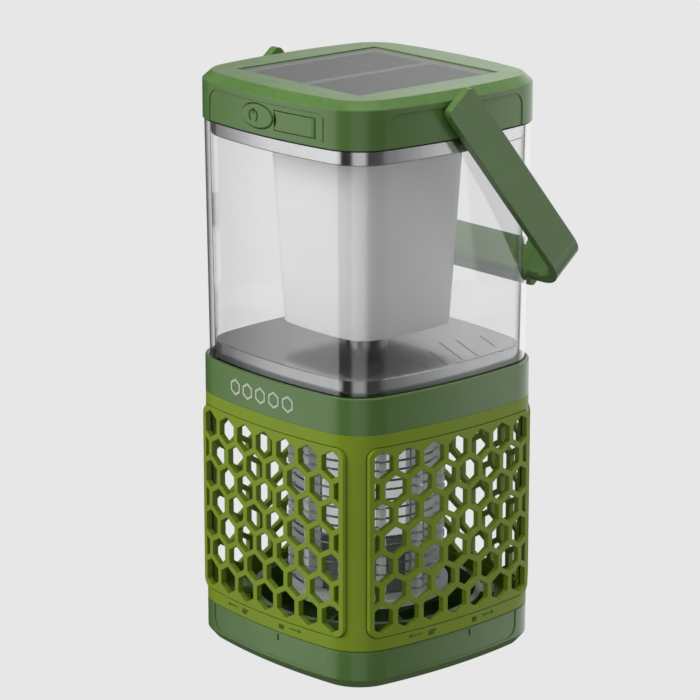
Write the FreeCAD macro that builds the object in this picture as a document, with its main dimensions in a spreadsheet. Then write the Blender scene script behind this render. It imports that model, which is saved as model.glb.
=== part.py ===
"""Solar camping lantern with an insect zapper in its lower half.

Millimetres, +Z up.  The origin is the centre of the base's underside.  The face with the power
button looks along -Y, and the carry handle turns on the X faces and hangs towards +Y.
"""
import FreeCAD
import Part
import Sketcher

import math
import operator
import os

SIZES = (
    ("half_width", 52.5, "half the width over the middle of two opposite faces"),
    ("side_arc", 227.6, "radius of the gently curved faces"),
    ("corner_arc", 19.0, "radius of the four upright corners"),
    ("base_top", 15.2, "top of the base's outer wall"),
    ("frame_bottom", 15.5, "underside of the grille frame"),
    ("frame_top", 101.0, "top of the grille frame, underside of the middle ring"),
    ("ring_top", 115.3, "top lip of the middle ring"),
    ("cap_bottom", 209.4, "underside of the top cap"),
    ("cap_shoulder", 224.3, "start of the cap's bevel"),
    ("cap_top", 227.4, "top face of the cap"),
    ("cap_bevel", 3.6, "how far the bevel goes in"),
    ("wall", 2.5, "wall of the outer mouldings"),
    ("floor", 2.0, "floor of the base tray"),
    ("foot_bevel", 3.0, "inset of the base's bottom bevel"),
    ("foot_rise", 3.5, "height of the base's bottom bevel"),
    ("spigot", 45.5, "outer radius of the base's bayonet spigot"),
    ("lug_reach", 50.5, "radius of the bayonet lugs"),
    ("spigot_top", 20.3, "top of the spigot and its lugs"),
    ("flange", 2.0, "thickness of the frame's bayonet flange"),
    ("flange_hole", 46.0, "radius of the opening in the bayonet flange"),
    ("notch_angle", 30.0, "angle of the bayonet notches from the X axis"),
    ("panel_half", 41.5, "half the width of a grille panel"),
    ("panel_low", 20.7, "bottom edge of a grille panel"),
    ("panel_high", 95.8, "top edge of a grille panel"),
    ("panel_gap", 0.3, "groove between a grille panel and the frame"),
    ("panel_round", 4.0, "corner radius of a grille panel"),
    ("panel_ledge", 1.2, "thickness and overlap of the ledge behind a panel"),
    ("cell_flats", 9.7, "width of a hexagonal hole across its flats"),
    ("cell_pitch", 12.0, "sideways pitch of the hexagonal holes"),
    ("cell_row", 10.18, "height between two rows of hexagonal holes"),
    ("cell_first", 27.7, "centre height of the lowest row"),
    ("cell_edge", 39.4, "half the width of the field of holes"),
    ("boss_at", 40.0, "place of the corner bosses on both axes"),
    ("boss_round", 3.5, "radius of the corner bosses"),
    ("lip", 1.7, "thickness of the ring's lip round the window"),
    ("tube_seat", 111.0, "height of the seat under the window tube"),
    ("deck_top", 107.5, "top of the middle ring's deck"),
    ("deck", 2.5, "thickness of the middle ring's deck"),
    ("plate_top", 121.1, "top of the lower reflector"),
    ("plate_inset", 4.4, "inset of the lower reflector's rim"),
    ("sheet_wall", 1.2, "wall of the metallised mouldings"),
    ("tube_wall", 2.0, "wall of the clear window"),
    ("tube_low_inset", 1.85, "inset of the window at its bottom"),
    ("tube_high_inset", 0.6, "inset of the window at its top"),
    ("seal", 0.6, "thickness of the two window seals"),
    ("crown_low", 202.9, "lower edge of the upper reflector's flange"),
    ("crown_inset", 3.0, "inset of the upper reflector's flange"),
    ("collar_low", 199.0, "lower edge of the upper reflector's collar"),
    ("collar_scale", 0.64, "size of that collar as a share of the body"),
    ("shade_top_scale", 0.5867, "size of the diffuser's top as a share of the body"),
    ("shade_low_scale", 0.5067, "size of the diffuser's bottom as a share of the body"),
    ("shade_low", 129.2, "bottom of the diffuser"),
    ("shade_wall", 1.5, "wall of the diffuser"),
    ("column", 5.5, "radius of the wire column"),
    ("heat_plate", 1.0, "thickness of the lamp's heat plate"),
    ("lamp_inset", 2.0, "inset of the lamp board from the diffuser"),
    ("cap_floor_top", 211.4, "top of the plate that closes the cap"),
    ("cap_roof", 223.0, "underside of the cap's top wall"),
    ("panel_square", 35.3, "half the side of the recess for the solar panel"),
    ("solar_half", 34.9, "half the side of the solar panel"),
    ("solar_floor", 225.4, "floor of the solar panel's recess"),
    ("pivot_height", 219.4, "height of the handle's pivot"),
    ("pivot_round", 4.0, "radius of the handle's pivot boss"),
    ("strap_out", 57.0, "outer face of the handle's arms"),
    ("strap_in", 53.3, "inner face of the handle's arms"),
    ("strap_half", 7.4, "half the width of the handle's arms"),
    ("strap_end", 7.2, "end of the arms beyond the pivot"),
    ("strap_bend", 14.0, "outer radius of the handle's bends"),
    ("bar_reach", 92.3, "outer face of the handle's bar from the pivot"),
    ("grip_half", 9.6, "half the width of the grip round the bar"),
    ("grip_low", 90.6, "inner face of the grip from the pivot"),
    ("grip_high", 94.4, "outer face of the grip from the pivot"),
    ("grip_end", 37.5, "half the length of the grip"),
    ("lean_face", 51.5, "flat on the bar that leans towards the window"),
    ("lean_end", 42.0, "half the length of that flat"),
    ("handle_hang", 39.5, "angle at which the handle leans on the window"),
    ("pivot_boss", 5.9, "radius of the cap's pivot bosses"),
    ("pivot_boss_in", 46.8, "inner end of the cap's pivot bosses"),
    ("pivot_boss_out", 51.0, "outer end of the cap's pivot bosses"),
    ("pin_end", 45.5, "inner end of the handle's pivot pins"),
    ("washer_round", 5.2, "radius of the washers on the pivot pins"),
    ("washer", 0.8, "thickness of those washers"),
    ("cage_round", 31.2, "outer radius of the zapping cage's posts"),
    ("post_in", 24.2, "inner radius of the cage's posts"),
    ("post_wide", 2.6, "width of the cage's posts"),
    ("cage_low", 21.5, "underside of the cage"),
    ("cage_high", 98.3, "top of the cage's posts"),
    ("cage_disc", 3.0, "thickness of the cage's end discs"),
    ("wire", 0.45, "radius of the grid wire"),
    ("live_round", 29.8, "radius of the live rings"),
    ("return_round", 29.0, "radius of the return rings"),
    ("grid_first", 27.2, "height of the lowest ring"),
    ("grid_pitch", 3.8, "height between two rings"),
    ("lamp_round", 22.0, "outer radius of the ultraviolet lamp cover"),
    ("lamp_low", 47.0, "bottom of the ultraviolet lamp cover"),
    ("button_x", -3.0, "centre of the power button"),
    ("button_z", 216.3, "height of the power button's centre"),
    ("button_half", 9.0, "half the width of the power button"),
    ("button_rise", 4.6, "half the height of the power button"),
    ("port_left", 6.5, "left end of the port cover's recess"),
    ("port_right", 28.4, "right end of the port cover's recess"),
    ("port_z", 216.1, "centre height of the port cover"),
    ("port_half", 3.9, "half the height of the port cover's recess"),
    ("port_floor", 48.2, "depth of the port recess, as a distance from the centre plane"),
    ("hinge_x", 26.9, "place of the port cover's hinge along X"),
    ("hinge_y", 49.7, "place of the port cover's hinge in front of the centre plane"),
    ("hinge_round", 1.15, "radius of the port cover's knuckle"),
    ("play", 0.3, "clearance between pieces that move past each other"),
    ("fit", 0.05, "clearance of a running fit, or behind a piece at rest"),
    ("past", 60.0, "length of a cut that passes right through a wall"),
    ("soft", 0.6, "radius of the softened edges"),
    ("recess", 0.35, "depth of the recesses in the faces of the cap and the base"),
    ("recess_half", 34.0, "half the width of those recesses"),
    ("recess_round", 5.0, "corner radius of those recesses"),
    ("recess_high", 222.0, "top of the cap's recesses"),
    ("recess_low", 4.5, "bottom of the base's recesses"),
    ("wire_bore", 2.5, "radius of the passages for wires"),
    ("board", 1.6, "thickness of the circuit boards"),
    ("tray_hub", 14.0, "radius of the ring rib in the tray"),
    ("tray_rib", 1.6, "thickness of the tray's ribs"),
    ("tray_rise", 3.0, "height of the tray's ribs"),
    ("lug_half", 5.0, "half the width of the bayonet lugs"),
    ("notch_half", 6.3, "half the width of the bayonet notches"),
    ("boss_tall", 6.0, "height of the frame's corner bosses"),
    ("clear_hole", 1.65, "radius of the holes the corner screws pass through"),
    ("ring_pilot", 1.5, "radius of the ring's screw holes"),
    ("ring_pilot_deep", 5.5, "depth of the ring's screw holes"),
    ("hook_half", 24.0, "half the width of the ring's locating tongues"),
    ("hook_near", 45.7, "inner face of the locating tongues"),
    ("hook", 1.5, "thickness of the locating tongues"),
    ("hook_down", 3.5, "how far the tongues reach into the frame"),
    ("cage_rim", 1.0, "how far the cage's rims stand past its posts"),
    ("cage_hub", 7.0, "radius of the cage's hub"),
    ("spoke", 3.0, "width of the cage's spokes"),
    ("pillar_at", 20.0, "place of the cage's pillars on both axes"),
    ("pillar", 3.2, "radius of the cage's pillars"),
    ("cage_pilot", 1.4, "radius of the pillars' screw holes"),
    ("case_wall", 1.5, "wall of the lamp cover and the zapper module"),
    ("cap_boss_at", 38.0, "place of the cap's screw bosses on both axes"),
    ("cap_pilot", 1.25, "radius of the cap's screw holes"),
    ("cap_pilot_deep", 9.0, "depth of the cap's screw holes"),
    ("plate_groove", 0.6, "width of the grooves in the lower reflector"),
    ("plate_groove_deep", 0.4, "depth of those grooves"),
    ("cell_sheet", 0.25, "thickness of the solar cells"),
    ("resin", 0.8, "thickness of the panel's backing, and of its resin"),
    ("cell_length", 29.5, "length of a solar cell strip"),
    ("cell_width", 10.1, "width of a solar cell strip"),
    ("cell_step", 10.55, "pitch of the solar cell strips"),
    ("cell_start", -31.5, "left and front edge of the first strip"),
    ("cell_second", 2.0, "left edge of the second block of strips"),
    ("socket_left", 9.5, "left side of the charging socket"),
    ("socket_right", 18.5, "right side of the charging socket"),
    ("socket_rise", 1.65, "half the height of the charging socket"),
    ("socket_back", 40.9, "back of the charging socket"),
    ("socket_mouth", 42.0, "bottom of the charging socket's mouth"),
    ("socket_tongue", 41.5, "root of the charging socket's tongue"),
    ("socket_sheet", 0.35, "sheet of the charging socket"),
    ("button_back", 49.0, "back of the power button's cap"),
    ("button_front", 52.6, "front of the power button"),
    ("button_flange", 48.5, "back of the power button's flange"),
    ("button_flange_deep", 1.1, "thickness of the power button's flange"),
    ("button_flange_rim", 1.2, "how far that flange stands past the button"),
    ("cover_sheet", 1.6, "thickness of the port cover"),
    ("hinge_pin", 0.6, "radius of the port cover's hinge pin"),
    ("hinge_pin_tip", 1.1, "how far the hinge pin stands out"),
)

RING_COUNT = 19
POST_COUNT = 12
STRIP_COUNT = 6
CHIP_COUNT = 12
CHIP_SIZE = (3.5, 3.5, 0.9)
CHIP_RING = 19
BOARD_PARTS = (
    (-24, -30, 7, 7, 1.6),
    (-8, -26, 8, 8, 4.2),
    (6, -30, 5, 5, 1.2),
    (18, -26, 6, 6, 5.2),
    (-24, -18, 5, 4, 1.4),
)
FACES = (("front", 0), ("right", 90), ("back", 180), ("left", 270))
SIGNS = {"+": operator.add, "-": operator.sub, "*": operator.mul, "/": operator.truediv}

document = FreeCAD.newDocument("bug_zapper")
sheet = document.addObject("Spreadsheet::Sheet", "Sizes")


class Size:
    """A number together with the spreadsheet expression that gives it."""

    def __init__(self, number, text):
        self.number = number
        self.text = text

    def __add__(self, other):
        return joined(self, "+", other)

    def __radd__(self, other):
        return joined(other, "+", self)

    def __sub__(self, other):
        return joined(self, "-", other)

    def __rsub__(self, other):
        return joined(other, "-", self)

    def __mul__(self, other):
        return joined(self, "*", other)

    def __rmul__(self, other):
        return joined(other, "*", self)

    def __truediv__(self, other):
        return joined(self, "/", other)

    def __neg__(self):
        return joined(0, "-", self)


def sized(value):
    """The value as a Size, whether it is one already or a bare number."""
    if isinstance(value, Size):
        return value
    return Size(value, f"({value})")


def joined(left, sign, right):
    left = sized(left)
    right = sized(right)
    return Size(SIGNS[sign](left.number, right.number), f"({left.text} {sign} {right.text})")


def fill_sheet():
    sizes = {}
    for row, (name, value, meaning) in enumerate(SIZES, 1):
        sheet.set(f"A{row}", meaning)
        sheet.set(f"B{row}", str(value))
        sheet.setAlias(f"B{row}", name)
        sizes[name] = Size(value, f"Sizes.{name}")
    document.recompute()
    return sizes


def bind(thing, path, value):
    """Set a property and tie it to the sheet."""
    thing.setExpression(path, sized(value).text)


# ---- sketches -------------------------------------------------------------------------------

def datum(sketch, kind, *where):
    """Add a dimension whose last argument is a Size, and bind it."""
    value = sized(where[-1])
    index = sketch.addConstraint(Sketcher.Constraint(kind, *where[:-1], value.number))
    bind(sketch, f"Constraints[{index}]", value)


def place_point(sketch, line, end, across, up):
    datum(sketch, "DistanceX", -1, 1, line, end, across)
    datum(sketch, "DistanceY", -1, 1, line, end, up)


def point(across, up):
    return FreeCAD.Vector(sized(across).number, sized(up).number, 0)


def add_line(sketch, start, end):
    return sketch.addGeometry(Part.LineSegment(start, end))


def add_arc(sketch, centre, radius, start, end):
    round_edge = Part.Circle(centre, FreeCAD.Vector(0, 0, 1), radius)
    return sketch.addGeometry(Part.ArcOfCircle(round_edge, start, end))


def add_circle(sketch, across, up, radius):
    round_edge = Part.Circle(point(across, up), FreeCAD.Vector(0, 0, 1), sized(radius).number)
    index = sketch.addGeometry(round_edge)
    place_point(sketch, index, 3, across, up)
    datum(sketch, "Radius", index, radius)


def add_polygon(sketch, corners):
    """A closed outline of straight lines, each corner placed from the origin."""
    places = [point(*corner) for corner in corners]
    lines = [add_line(sketch, places[i - 1], places[i]) for i in range(len(places))]
    for i, (across, up) in enumerate(corners):
        following = lines[(i + 1) % len(lines)]
        sketch.addConstraint(Sketcher.Constraint("Coincident", lines[i], 2, following, 1))
        place_point(sketch, lines[i], 2, across, up)


def add_rectangle(sketch, left, low, right, high):
    add_polygon(sketch, ((left, low), (right, low), (right, high), (left, high)))


def add_hexagon(sketch, across, up, flats):
    """A regular hexagon that stands on a corner."""
    side = flats / math.sqrt(3)
    half = flats / 2
    add_polygon(sketch, (
        (across, up - side), (across + half, up - side / 2), (across + half, up + side / 2),
        (across, up + side), (across - half, up + side / 2), (across - half, up - side / 2)))


def tangent_chain(sketch, pieces):
    for i, piece in enumerate(pieces):
        following = pieces[(i + 1) % len(pieces)]
        sketch.addConstraint(Sketcher.Constraint("Tangent", piece, 2, following, 1))


def equal(sketch, pieces):
    for piece in pieces[1:]:
        sketch.addConstraint(Sketcher.Constraint("Equal", pieces[0], piece))


def add_squircle(sketch, half, side, corner):
    """The body's outline: four gently curved sides joined by four tangent corners."""
    offset = side.number - half.number
    reach = side.number - corner.number
    inner = (math.sqrt(2 * reach ** 2 - offset ** 2) - offset) / 2
    turn = math.atan2(inner, inner + offset)
    sides = []
    corners = []
    for quarter in range(4):
        facing = math.radians(90 * quarter)
        along = FreeCAD.Vector(math.cos(facing), math.sin(facing), 0)
        sides.append(add_arc(sketch, along * -offset, side.number, facing - turn, facing + turn))
        slant = facing + math.pi / 4
        middle = FreeCAD.Vector(math.cos(slant), math.sin(slant), 0) * inner * math.sqrt(2)
        end = facing + math.pi / 2 - turn
        corners.append(add_arc(sketch, middle, corner.number, facing + turn, end))
    tangent_chain(sketch, [piece for pair in zip(sides, corners) for piece in pair])
    equal(sketch, sides)
    equal(sketch, corners)
    datum(sketch, "Radius", sides[0], side)
    datum(sketch, "Radius", corners[0], corner)
    back = side - half
    place_point(sketch, sides[0], 3, -back, 0)
    place_point(sketch, sides[1], 3, 0, -back)
    place_point(sketch, sides[2], 3, back, 0)
    place_point(sketch, sides[3], 3, 0, back)


def add_body_outline(sketch, inset):
    """The body's outline moved inwards by the inset."""
    add_squircle(sketch, S["half_width"] - inset, S["side_arc"] - inset, S["corner_arc"] - inset)


def add_scaled_outline(sketch, share, inset=0):
    """The body's outline as a share of its size, moved inwards by the inset."""
    add_squircle(sketch, S["half_width"] * share - inset, S["side_arc"] * share - inset,
                 S["corner_arc"] * share - inset)


def add_round_rectangle(sketch, half, low, high, radius):
    """A rectangle centred on the upright axis, with round corners."""
    left = -half.number
    right = half.number
    bottom = low.number
    top = high.number
    r = radius.number
    quarter = math.pi / 2
    pieces = [
        add_line(sketch, point(left + r, bottom), point(right - r, bottom)),
        add_arc(sketch, point(right - r, bottom + r), r, -quarter, 0),
        add_line(sketch, point(right, bottom + r), point(right, top - r)),
        add_arc(sketch, point(right - r, top - r), r, 0, quarter),
        add_line(sketch, point(right - r, top), point(left + r, top)),
        add_arc(sketch, point(left + r, top - r), r, quarter, 2 * quarter),
        add_line(sketch, point(left, top - r), point(left, bottom + r)),
        add_arc(sketch, point(left + r, bottom + r), r, 2 * quarter, 3 * quarter),
    ]
    tangent_chain(sketch, pieces)
    equal(sketch, pieces[1::2])
    datum(sketch, "Radius", pieces[1], radius)
    for flat in (pieces[0], pieces[4]):
        sketch.addConstraint(Sketcher.Constraint("Horizontal", flat))
    for upright in (pieces[2], pieces[6]):
        sketch.addConstraint(Sketcher.Constraint("Vertical", upright))
    datum(sketch, "DistanceY", -1, 1, pieces[0], 1, low)
    datum(sketch, "DistanceY", -1, 1, pieces[4], 1, high)
    datum(sketch, "DistanceX", -1, 1, pieces[2], 1, half)
    datum(sketch, "DistanceX", -1, 1, pieces[6], 1, -half)


def add_face_strip(sketch, left, right, outer_inset, inner_inset):
    """A strip in plan that follows the front face between two upright planes."""
    centre = S["side_arc"] - S["half_width"]
    radii = (S["side_arc"] - inner_inset, S["side_arc"] - outer_inset)
    ends = []
    arcs = []
    for radius in radii:
        start = math.asin(sized(left).number / radius.number)
        end = math.asin(sized(right).number / radius.number)
        quarter = math.pi / 2
        middle = FreeCAD.Vector(0, centre.number, 0)
        arcs.append(add_arc(sketch, middle, radius.number, start - quarter, end - quarter))
        ends.append([FreeCAD.Vector(math.sin(turn), -math.cos(turn), 0) * radius.number + middle
                     for turn in (start, end)])
    for side in (0, 1):
        line = add_line(sketch, ends[0][side], ends[1][side])
        sketch.addConstraint(Sketcher.Constraint("Coincident", line, 1, arcs[0], side + 1))
        sketch.addConstraint(Sketcher.Constraint("Coincident", line, 2, arcs[1], side + 1))
        datum(sketch, "DistanceX", -1, 1, line, 1, (left, right)[side])
        datum(sketch, "DistanceX", -1, 1, line, 2, (left, right)[side])
    for arc, radius in zip(arcs, radii):
        datum(sketch, "Radius", arc, radius)
        place_point(sketch, arc, 3, 0, centre)


def add_ellipse(sketch, across, up, half, rise):
    centre = point(across, up)
    shape = Part.Ellipse(centre, sized(half).number, sized(rise).number)
    index = sketch.addGeometry(shape)
    sketch.exposeInternalGeometry(index)
    place_point(sketch, index, 3, across, up)
    sketch.addConstraint(Sketcher.Constraint("Horizontal", index + 1))
    datum(sketch, "Distance", index + 1, 2 * half)
    datum(sketch, "Distance", index + 2, 2 * rise)


# ---- bodies and features --------------------------------------------------------------------

def new_body(label):
    body = document.addObject("PartDesign::Body", label)
    body.Label = label
    return body


def origin_piece(body, role):
    return next(piece for piece in body.Origin.OriginFeatures if piece.Role == role)


def new_sketch(body, plane, away=0):
    """An empty sketch on one of the body's origin planes, moved along the plane's normal."""
    sketch = body.newObject("Sketcher::SketchObject", "outline")
    sketch.AttachmentSupport = [(origin_piece(body, plane), "")]
    sketch.MapMode = "FlatFace"
    bind(sketch, "AttachmentOffset.Base.z", away)
    return sketch


def level(body, height):
    return new_sketch(body, "XY_Plane", height)


def feature(body, kind, sketch, **settings):
    made = body.newObject(kind, kind.split("::")[1].lower())
    made.Profile = sketch
    for name, value in settings.items():
        setattr(made, name, value)
    body.Tip = made
    return made


def pad(body, sketch, length, **settings):
    made = feature(body, "PartDesign::Pad", sketch, **settings)
    bind(made, "Length", length)
    return made


def pocket(body, sketch, depth, **settings):
    """Cut straight out of the body; a depth that is left out goes through everything."""
    made = feature(body, "PartDesign::Pocket", sketch, **settings)
    if depth is None:
        made.Type = "ThroughAll"
    else:
        bind(made, "Length", depth)
    return made


def turned(body, kind, sketch):
    made = feature(body, kind, sketch)
    made.ReferenceAxis = (origin_piece(body, "Z_Axis"), [""])
    made.Angle = 360
    return made


def loft(body, kind, lower, upper):
    made = feature(body, kind, lower)
    made.Sections = [upper]
    made.Ruled = True
    return made


def row(body, original, axis, pitch, count, second=None):
    """Repeat a feature along one axis, or over a grid when a second axis is given."""
    made = body.newObject("PartDesign::LinearPattern", "row")
    made.Originals = [original]
    made.Direction = (origin_piece(body, axis), [""])
    made.Occurrences = count
    bind(made, "Length", pitch * (count - 1))
    if second:
        second_axis, second_pitch, second_count = second
        made.Direction2 = (origin_piece(body, second_axis), [""])
        made.Occurrences2 = second_count
        bind(made, "Length2", second_pitch * (second_count - 1))
    body.Tip = made
    return made


def around(body, original, count):
    made = body.newObject("PartDesign::PolarPattern", "around")
    made.Originals = [original]
    made.Axis = (origin_piece(body, "Z_Axis"), [""])
    made.Angle = 360
    made.Occurrences = count
    body.Tip = made
    return made


def soften(body, kind, amount, wanted):
    """Fillet or chamfer the edges of the body so far that pass the test."""
    document.recompute()
    base = body.Tip
    names = [f"Edge{i}" for i, edge in enumerate(base.Shape.Edges, 1) if wanted(edge)]
    made = body.newObject(kind, "soft_edge")
    made.Base = (base, names)
    bind(made, "Radius" if kind.endswith("Fillet") else "Size", amount)
    body.Tip = made
    return made


def fillet(body, amount, wanted):
    return soften(body, "PartDesign::Fillet", amount, wanted)


def at_height(height, low=None):
    """A test for edges that lie flat at a height, and reach far enough from the axis."""
    def test(edge):
        box = edge.BoundBox
        flat = abs(box.ZMin - height) < 0.01 and abs(box.ZMax - height) < 0.01
        if not flat or low is None:
            return flat
        middle = edge.valueAt((edge.FirstParameter + edge.LastParameter) / 2)
        return math.hypot(middle.x, middle.y) > low
    return test


def solid_prism(body, inset, low, high):
    sketch = level(body, low)
    add_body_outline(sketch, inset)
    return pad(body, sketch, high - low)


def hollow(body, inset, low, high):
    """Cut the body's inset outline out between two heights."""
    sketch = level(body, low)
    add_body_outline(sketch, inset)
    return pocket(body, sketch, high - low, Reversed=True)


def ring_between(body, outer, inner, low, high):
    sketch = level(body, low)
    add_body_outline(sketch, outer)
    add_body_outline(sketch, inner)
    return pad(body, sketch, high - low)


def outline_loft(body, kind, low, low_inset, high, high_inset):
    lower = level(body, low)
    add_body_outline(lower, low_inset)
    upper = level(body, high)
    add_body_outline(upper, high_inset)
    return loft(body, kind, lower, upper)


def window_cut(body, half, low, high, corner):
    """Cut the same rectangle with round corners through all four faces."""
    for plane in ("XZ_Plane", "YZ_Plane"):
        sketch = new_sketch(body, plane)
        add_round_rectangle(sketch, half, low, high, corner)
        pocket(body, sketch, None, SideType="Symmetric")


def recessed_prism(body, low, high, recess_low, recess_high):
    """A prism of the body's outline with a shallow recess in each face."""
    ring_between(body, 0, S["recess"] * 2, low, high)
    window_cut(body, S["recess_half"], recess_low, recess_high, S["recess_round"])
    solid_prism(body, S["recess"], low, high)


def four_circles(sketch, reach, radius):
    for across in (reach, -reach):
        for up in (reach, -reach):
            add_circle(sketch, across, up, radius)


def cylinder_pad(body, x, y, radius, low, high):
    sketch = level(body, low)
    add_circle(sketch, x, y, radius)
    return pad(body, sketch, high - low)


def cylinder_cut(body, x, y, radius, low, high):
    sketch = level(body, low)
    add_circle(sketch, x, y, radius)
    return pocket(body, sketch, high - low, Reversed=True)


def box_pad(body, left, right, front, back, low, high):
    sketch = level(body, low)
    add_rectangle(sketch, left, front, right, back)
    return pad(body, sketch, high - low)


def box_cut(body, left, right, front, back, low, high):
    sketch = level(body, low)
    add_rectangle(sketch, left, front, right, back)
    return pocket(body, sketch, high - low, Reversed=True)


def block(label, left, front, low, sizes):
    made = document.addObject("Part::Box", label)
    for name, value in zip(("Length", "Width", "Height"), sizes):
        bind(made, name, value)
    for name, value in zip("xyz", (left, front, low)):
        bind(made, f"Placement.Base.{name}", value)
    return made


def compound(label, pieces):
    group = document.addObject("Part::Compound", label)
    group.Links = pieces
    group.Label = label
    return group


# ---- the base -------------------------------------------------------------------------------

def base_tray():
    body = new_body("base_tray")
    outline_loft(body, "PartDesign::AdditiveLoft", 0, S["foot_bevel"], S["foot_rise"], 0)
    recessed_prism(body, S["foot_rise"], S["base_top"], S["recess_low"], S["spigot_top"] * 2)
    cylinder_pad(body, 0, 0, S["spigot"], S["base_top"], S["spigot_top"])
    sketch = level(body, S["floor"])
    inside = S["spigot"] - S["wall"]
    add_circle(sketch, 0, 0, inside)
    pocket(body, sketch, S["spigot_top"], Reversed=True)
    half_rib = S["tray_rib"] / 2
    rib = level(body, S["floor"])
    add_rectangle(rib, S["tray_hub"], -half_rib, inside + half_rib, half_rib)
    around(body, pad(body, rib, S["tray_rise"]), 8)
    hub = level(body, S["floor"])
    add_circle(hub, 0, 0, S["tray_hub"] + half_rib)
    add_circle(hub, 0, 0, S["tray_hub"] - half_rib)
    pad(body, hub, S["tray_rise"])
    lug_bottom = S["frame_bottom"] + S["flange"] + S["play"]
    lug = level(body, lug_bottom)
    add_rectangle(lug, S["spigot"] - S["wall"] / 2, -S["lug_half"], S["lug_reach"], S["lug_half"])
    lug.AttachmentOffset = FreeCAD.Placement(
        lug.AttachmentOffset.Base, FreeCAD.Rotation(FreeCAD.Vector(0, 0, 1), 45))
    bind(lug, "AttachmentOffset.Base.z", lug_bottom)
    around(body, pad(body, lug, S["spigot_top"] - lug_bottom), 4)
    fillet(body, S["soft"], at_height(S["base_top"].number, 50))
    fillet(body, S["soft"], at_height(S["foot_rise"].number, 50))
    return body


# ---- the grille section ---------------------------------------------------------------------

def panel_window(body, grow):
    """Cut the four panel openings, grown or shrunk by an amount."""
    window_cut(body, S["panel_half"] + grow, S["panel_low"] - grow, S["panel_high"] + grow,
               S["panel_round"] + grow)


def grille_frame():
    body = new_body("grille_frame")
    ring_between(body, 0, S["wall"], S["frame_bottom"], S["frame_top"])
    panel_window(body, S["panel_gap"])
    inner = S["wall"] + S["panel_ledge"]
    ring_between(body, S["wall"], inner, S["frame_bottom"], S["frame_top"])
    panel_window(body, -S["panel_ledge"])
    flange = level(body, S["frame_bottom"])
    add_body_outline(flange, S["wall"] / 2)
    add_circle(flange, 0, 0, S["flange_hole"])
    pad(body, flange, S["flange"])
    notch = level(body, S["frame_bottom"])
    add_rectangle(notch, S["flange_hole"] - S["wall"], -S["notch_half"],
                  S["lug_reach"] + S["play"], S["notch_half"])
    notch.AttachmentOffset = FreeCAD.Placement(
        FreeCAD.Vector(0, 0, 0),
        FreeCAD.Rotation(FreeCAD.Vector(0, 0, 1), S["notch_angle"].number))
    bind(notch, "AttachmentOffset.Base.z", S["frame_bottom"])
    around(body, pocket(body, notch, S["flange"], Reversed=True), 4)
    boss_low = S["frame_top"] - S["boss_tall"]
    bosses = level(body, boss_low)
    four_circles(bosses, S["boss_at"], S["boss_round"])
    pad(body, bosses, S["boss_tall"])
    holes = level(body, boss_low)
    four_circles(holes, S["boss_at"], S["clear_hole"])
    pocket(body, holes, S["boss_tall"], Reversed=True)
    return body


def grille_panel(side, angle):
    """One honeycomb panel, drawn at the front and turned to its face."""
    body = new_body(f"grille_panel_{side}")
    blank = level(body, S["panel_low"])
    back = S["wall"] - S["fit"]
    add_face_strip(blank, -S["panel_half"], S["panel_half"], 0, back)
    height = S["panel_high"] - S["panel_low"]
    pad(body, blank, height)
    for first_across, first_up, columns, rows in (
            (-3 * S["cell_pitch"], S["cell_first"], 7, 4),
            (-3.5 * S["cell_pitch"], S["cell_first"] + S["cell_row"], 8, 3)):
        cell = new_sketch(body, "XZ_Plane")
        add_hexagon(cell, first_across, first_up, S["cell_flats"])
        hole = pocket(body, cell, S["past"], Reversed=True)
        row(body, hole, "X_Axis", S["cell_pitch"], columns,
            ("Z_Axis", S["cell_row"] * 2, rows))
    for left, right in ((-S["panel_half"], -S["cell_edge"]), (S["cell_edge"], S["panel_half"])):
        border = level(body, S["panel_low"])
        add_face_strip(border, left, right, 0, back)
        pad(body, border, height)
    edge = S["panel_half"].number
    ends = (S["panel_low"].number, S["panel_high"].number)

    def panel_corner(line):
        middle = line.CenterOfMass
        on_side = abs(abs(middle.x) - edge) < 0.01
        return on_side and min(abs(middle.z - end) for end in ends) < 0.01

    fillet(body, S["panel_round"], panel_corner)
    body.Placement = FreeCAD.Placement(
        FreeCAD.Vector(0, 0, 0), FreeCAD.Rotation(FreeCAD.Vector(0, 0, 1), angle))
    return body


# ---- the zapping cage -----------------------------------------------------------------------

def cage_body():
    """Spoked bottom disc and the twelve slotted posts, one moulding."""
    body = new_body("cage_body")
    low = S["cage_low"]
    rim = level(body, low)
    add_circle(rim, 0, 0, S["cage_round"] + S["cage_rim"])
    add_circle(rim, 0, 0, S["post_in"] - S["cage_rim"])
    pad(body, rim, S["cage_disc"])
    cylinder_pad(body, 0, 0, S["cage_hub"], low, low + S["cage_disc"])
    half_spoke = S["spoke"] / 2
    spoke = level(body, low)
    add_rectangle(spoke, S["cage_hub"] - half_spoke, -half_spoke, S["post_in"], half_spoke)
    around(body, pad(body, spoke, S["cage_disc"]), 6)
    post = level(body, low + S["cage_disc"])
    add_rectangle(post, S["post_in"], -S["post_wide"] / 2, S["cage_round"], S["post_wide"] / 2)
    around(body, pad(body, post, S["cage_high"] - low - S["cage_disc"]), POST_COUNT)
    slot = new_sketch(body, "XZ_Plane")
    inside = S["return_round"] - S["wire"] - S["fit"]
    half_slot = S["wire"] + S["fit"]
    add_rectangle(slot, inside, S["grid_first"] - half_slot,
                  S["cage_round"] + S["cage_rim"], S["grid_first"] + half_slot)
    groove = turned(body, "PartDesign::Groove", slot)
    row(body, groove, "Z_Axis", S["grid_pitch"], RING_COUNT)
    return body


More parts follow.
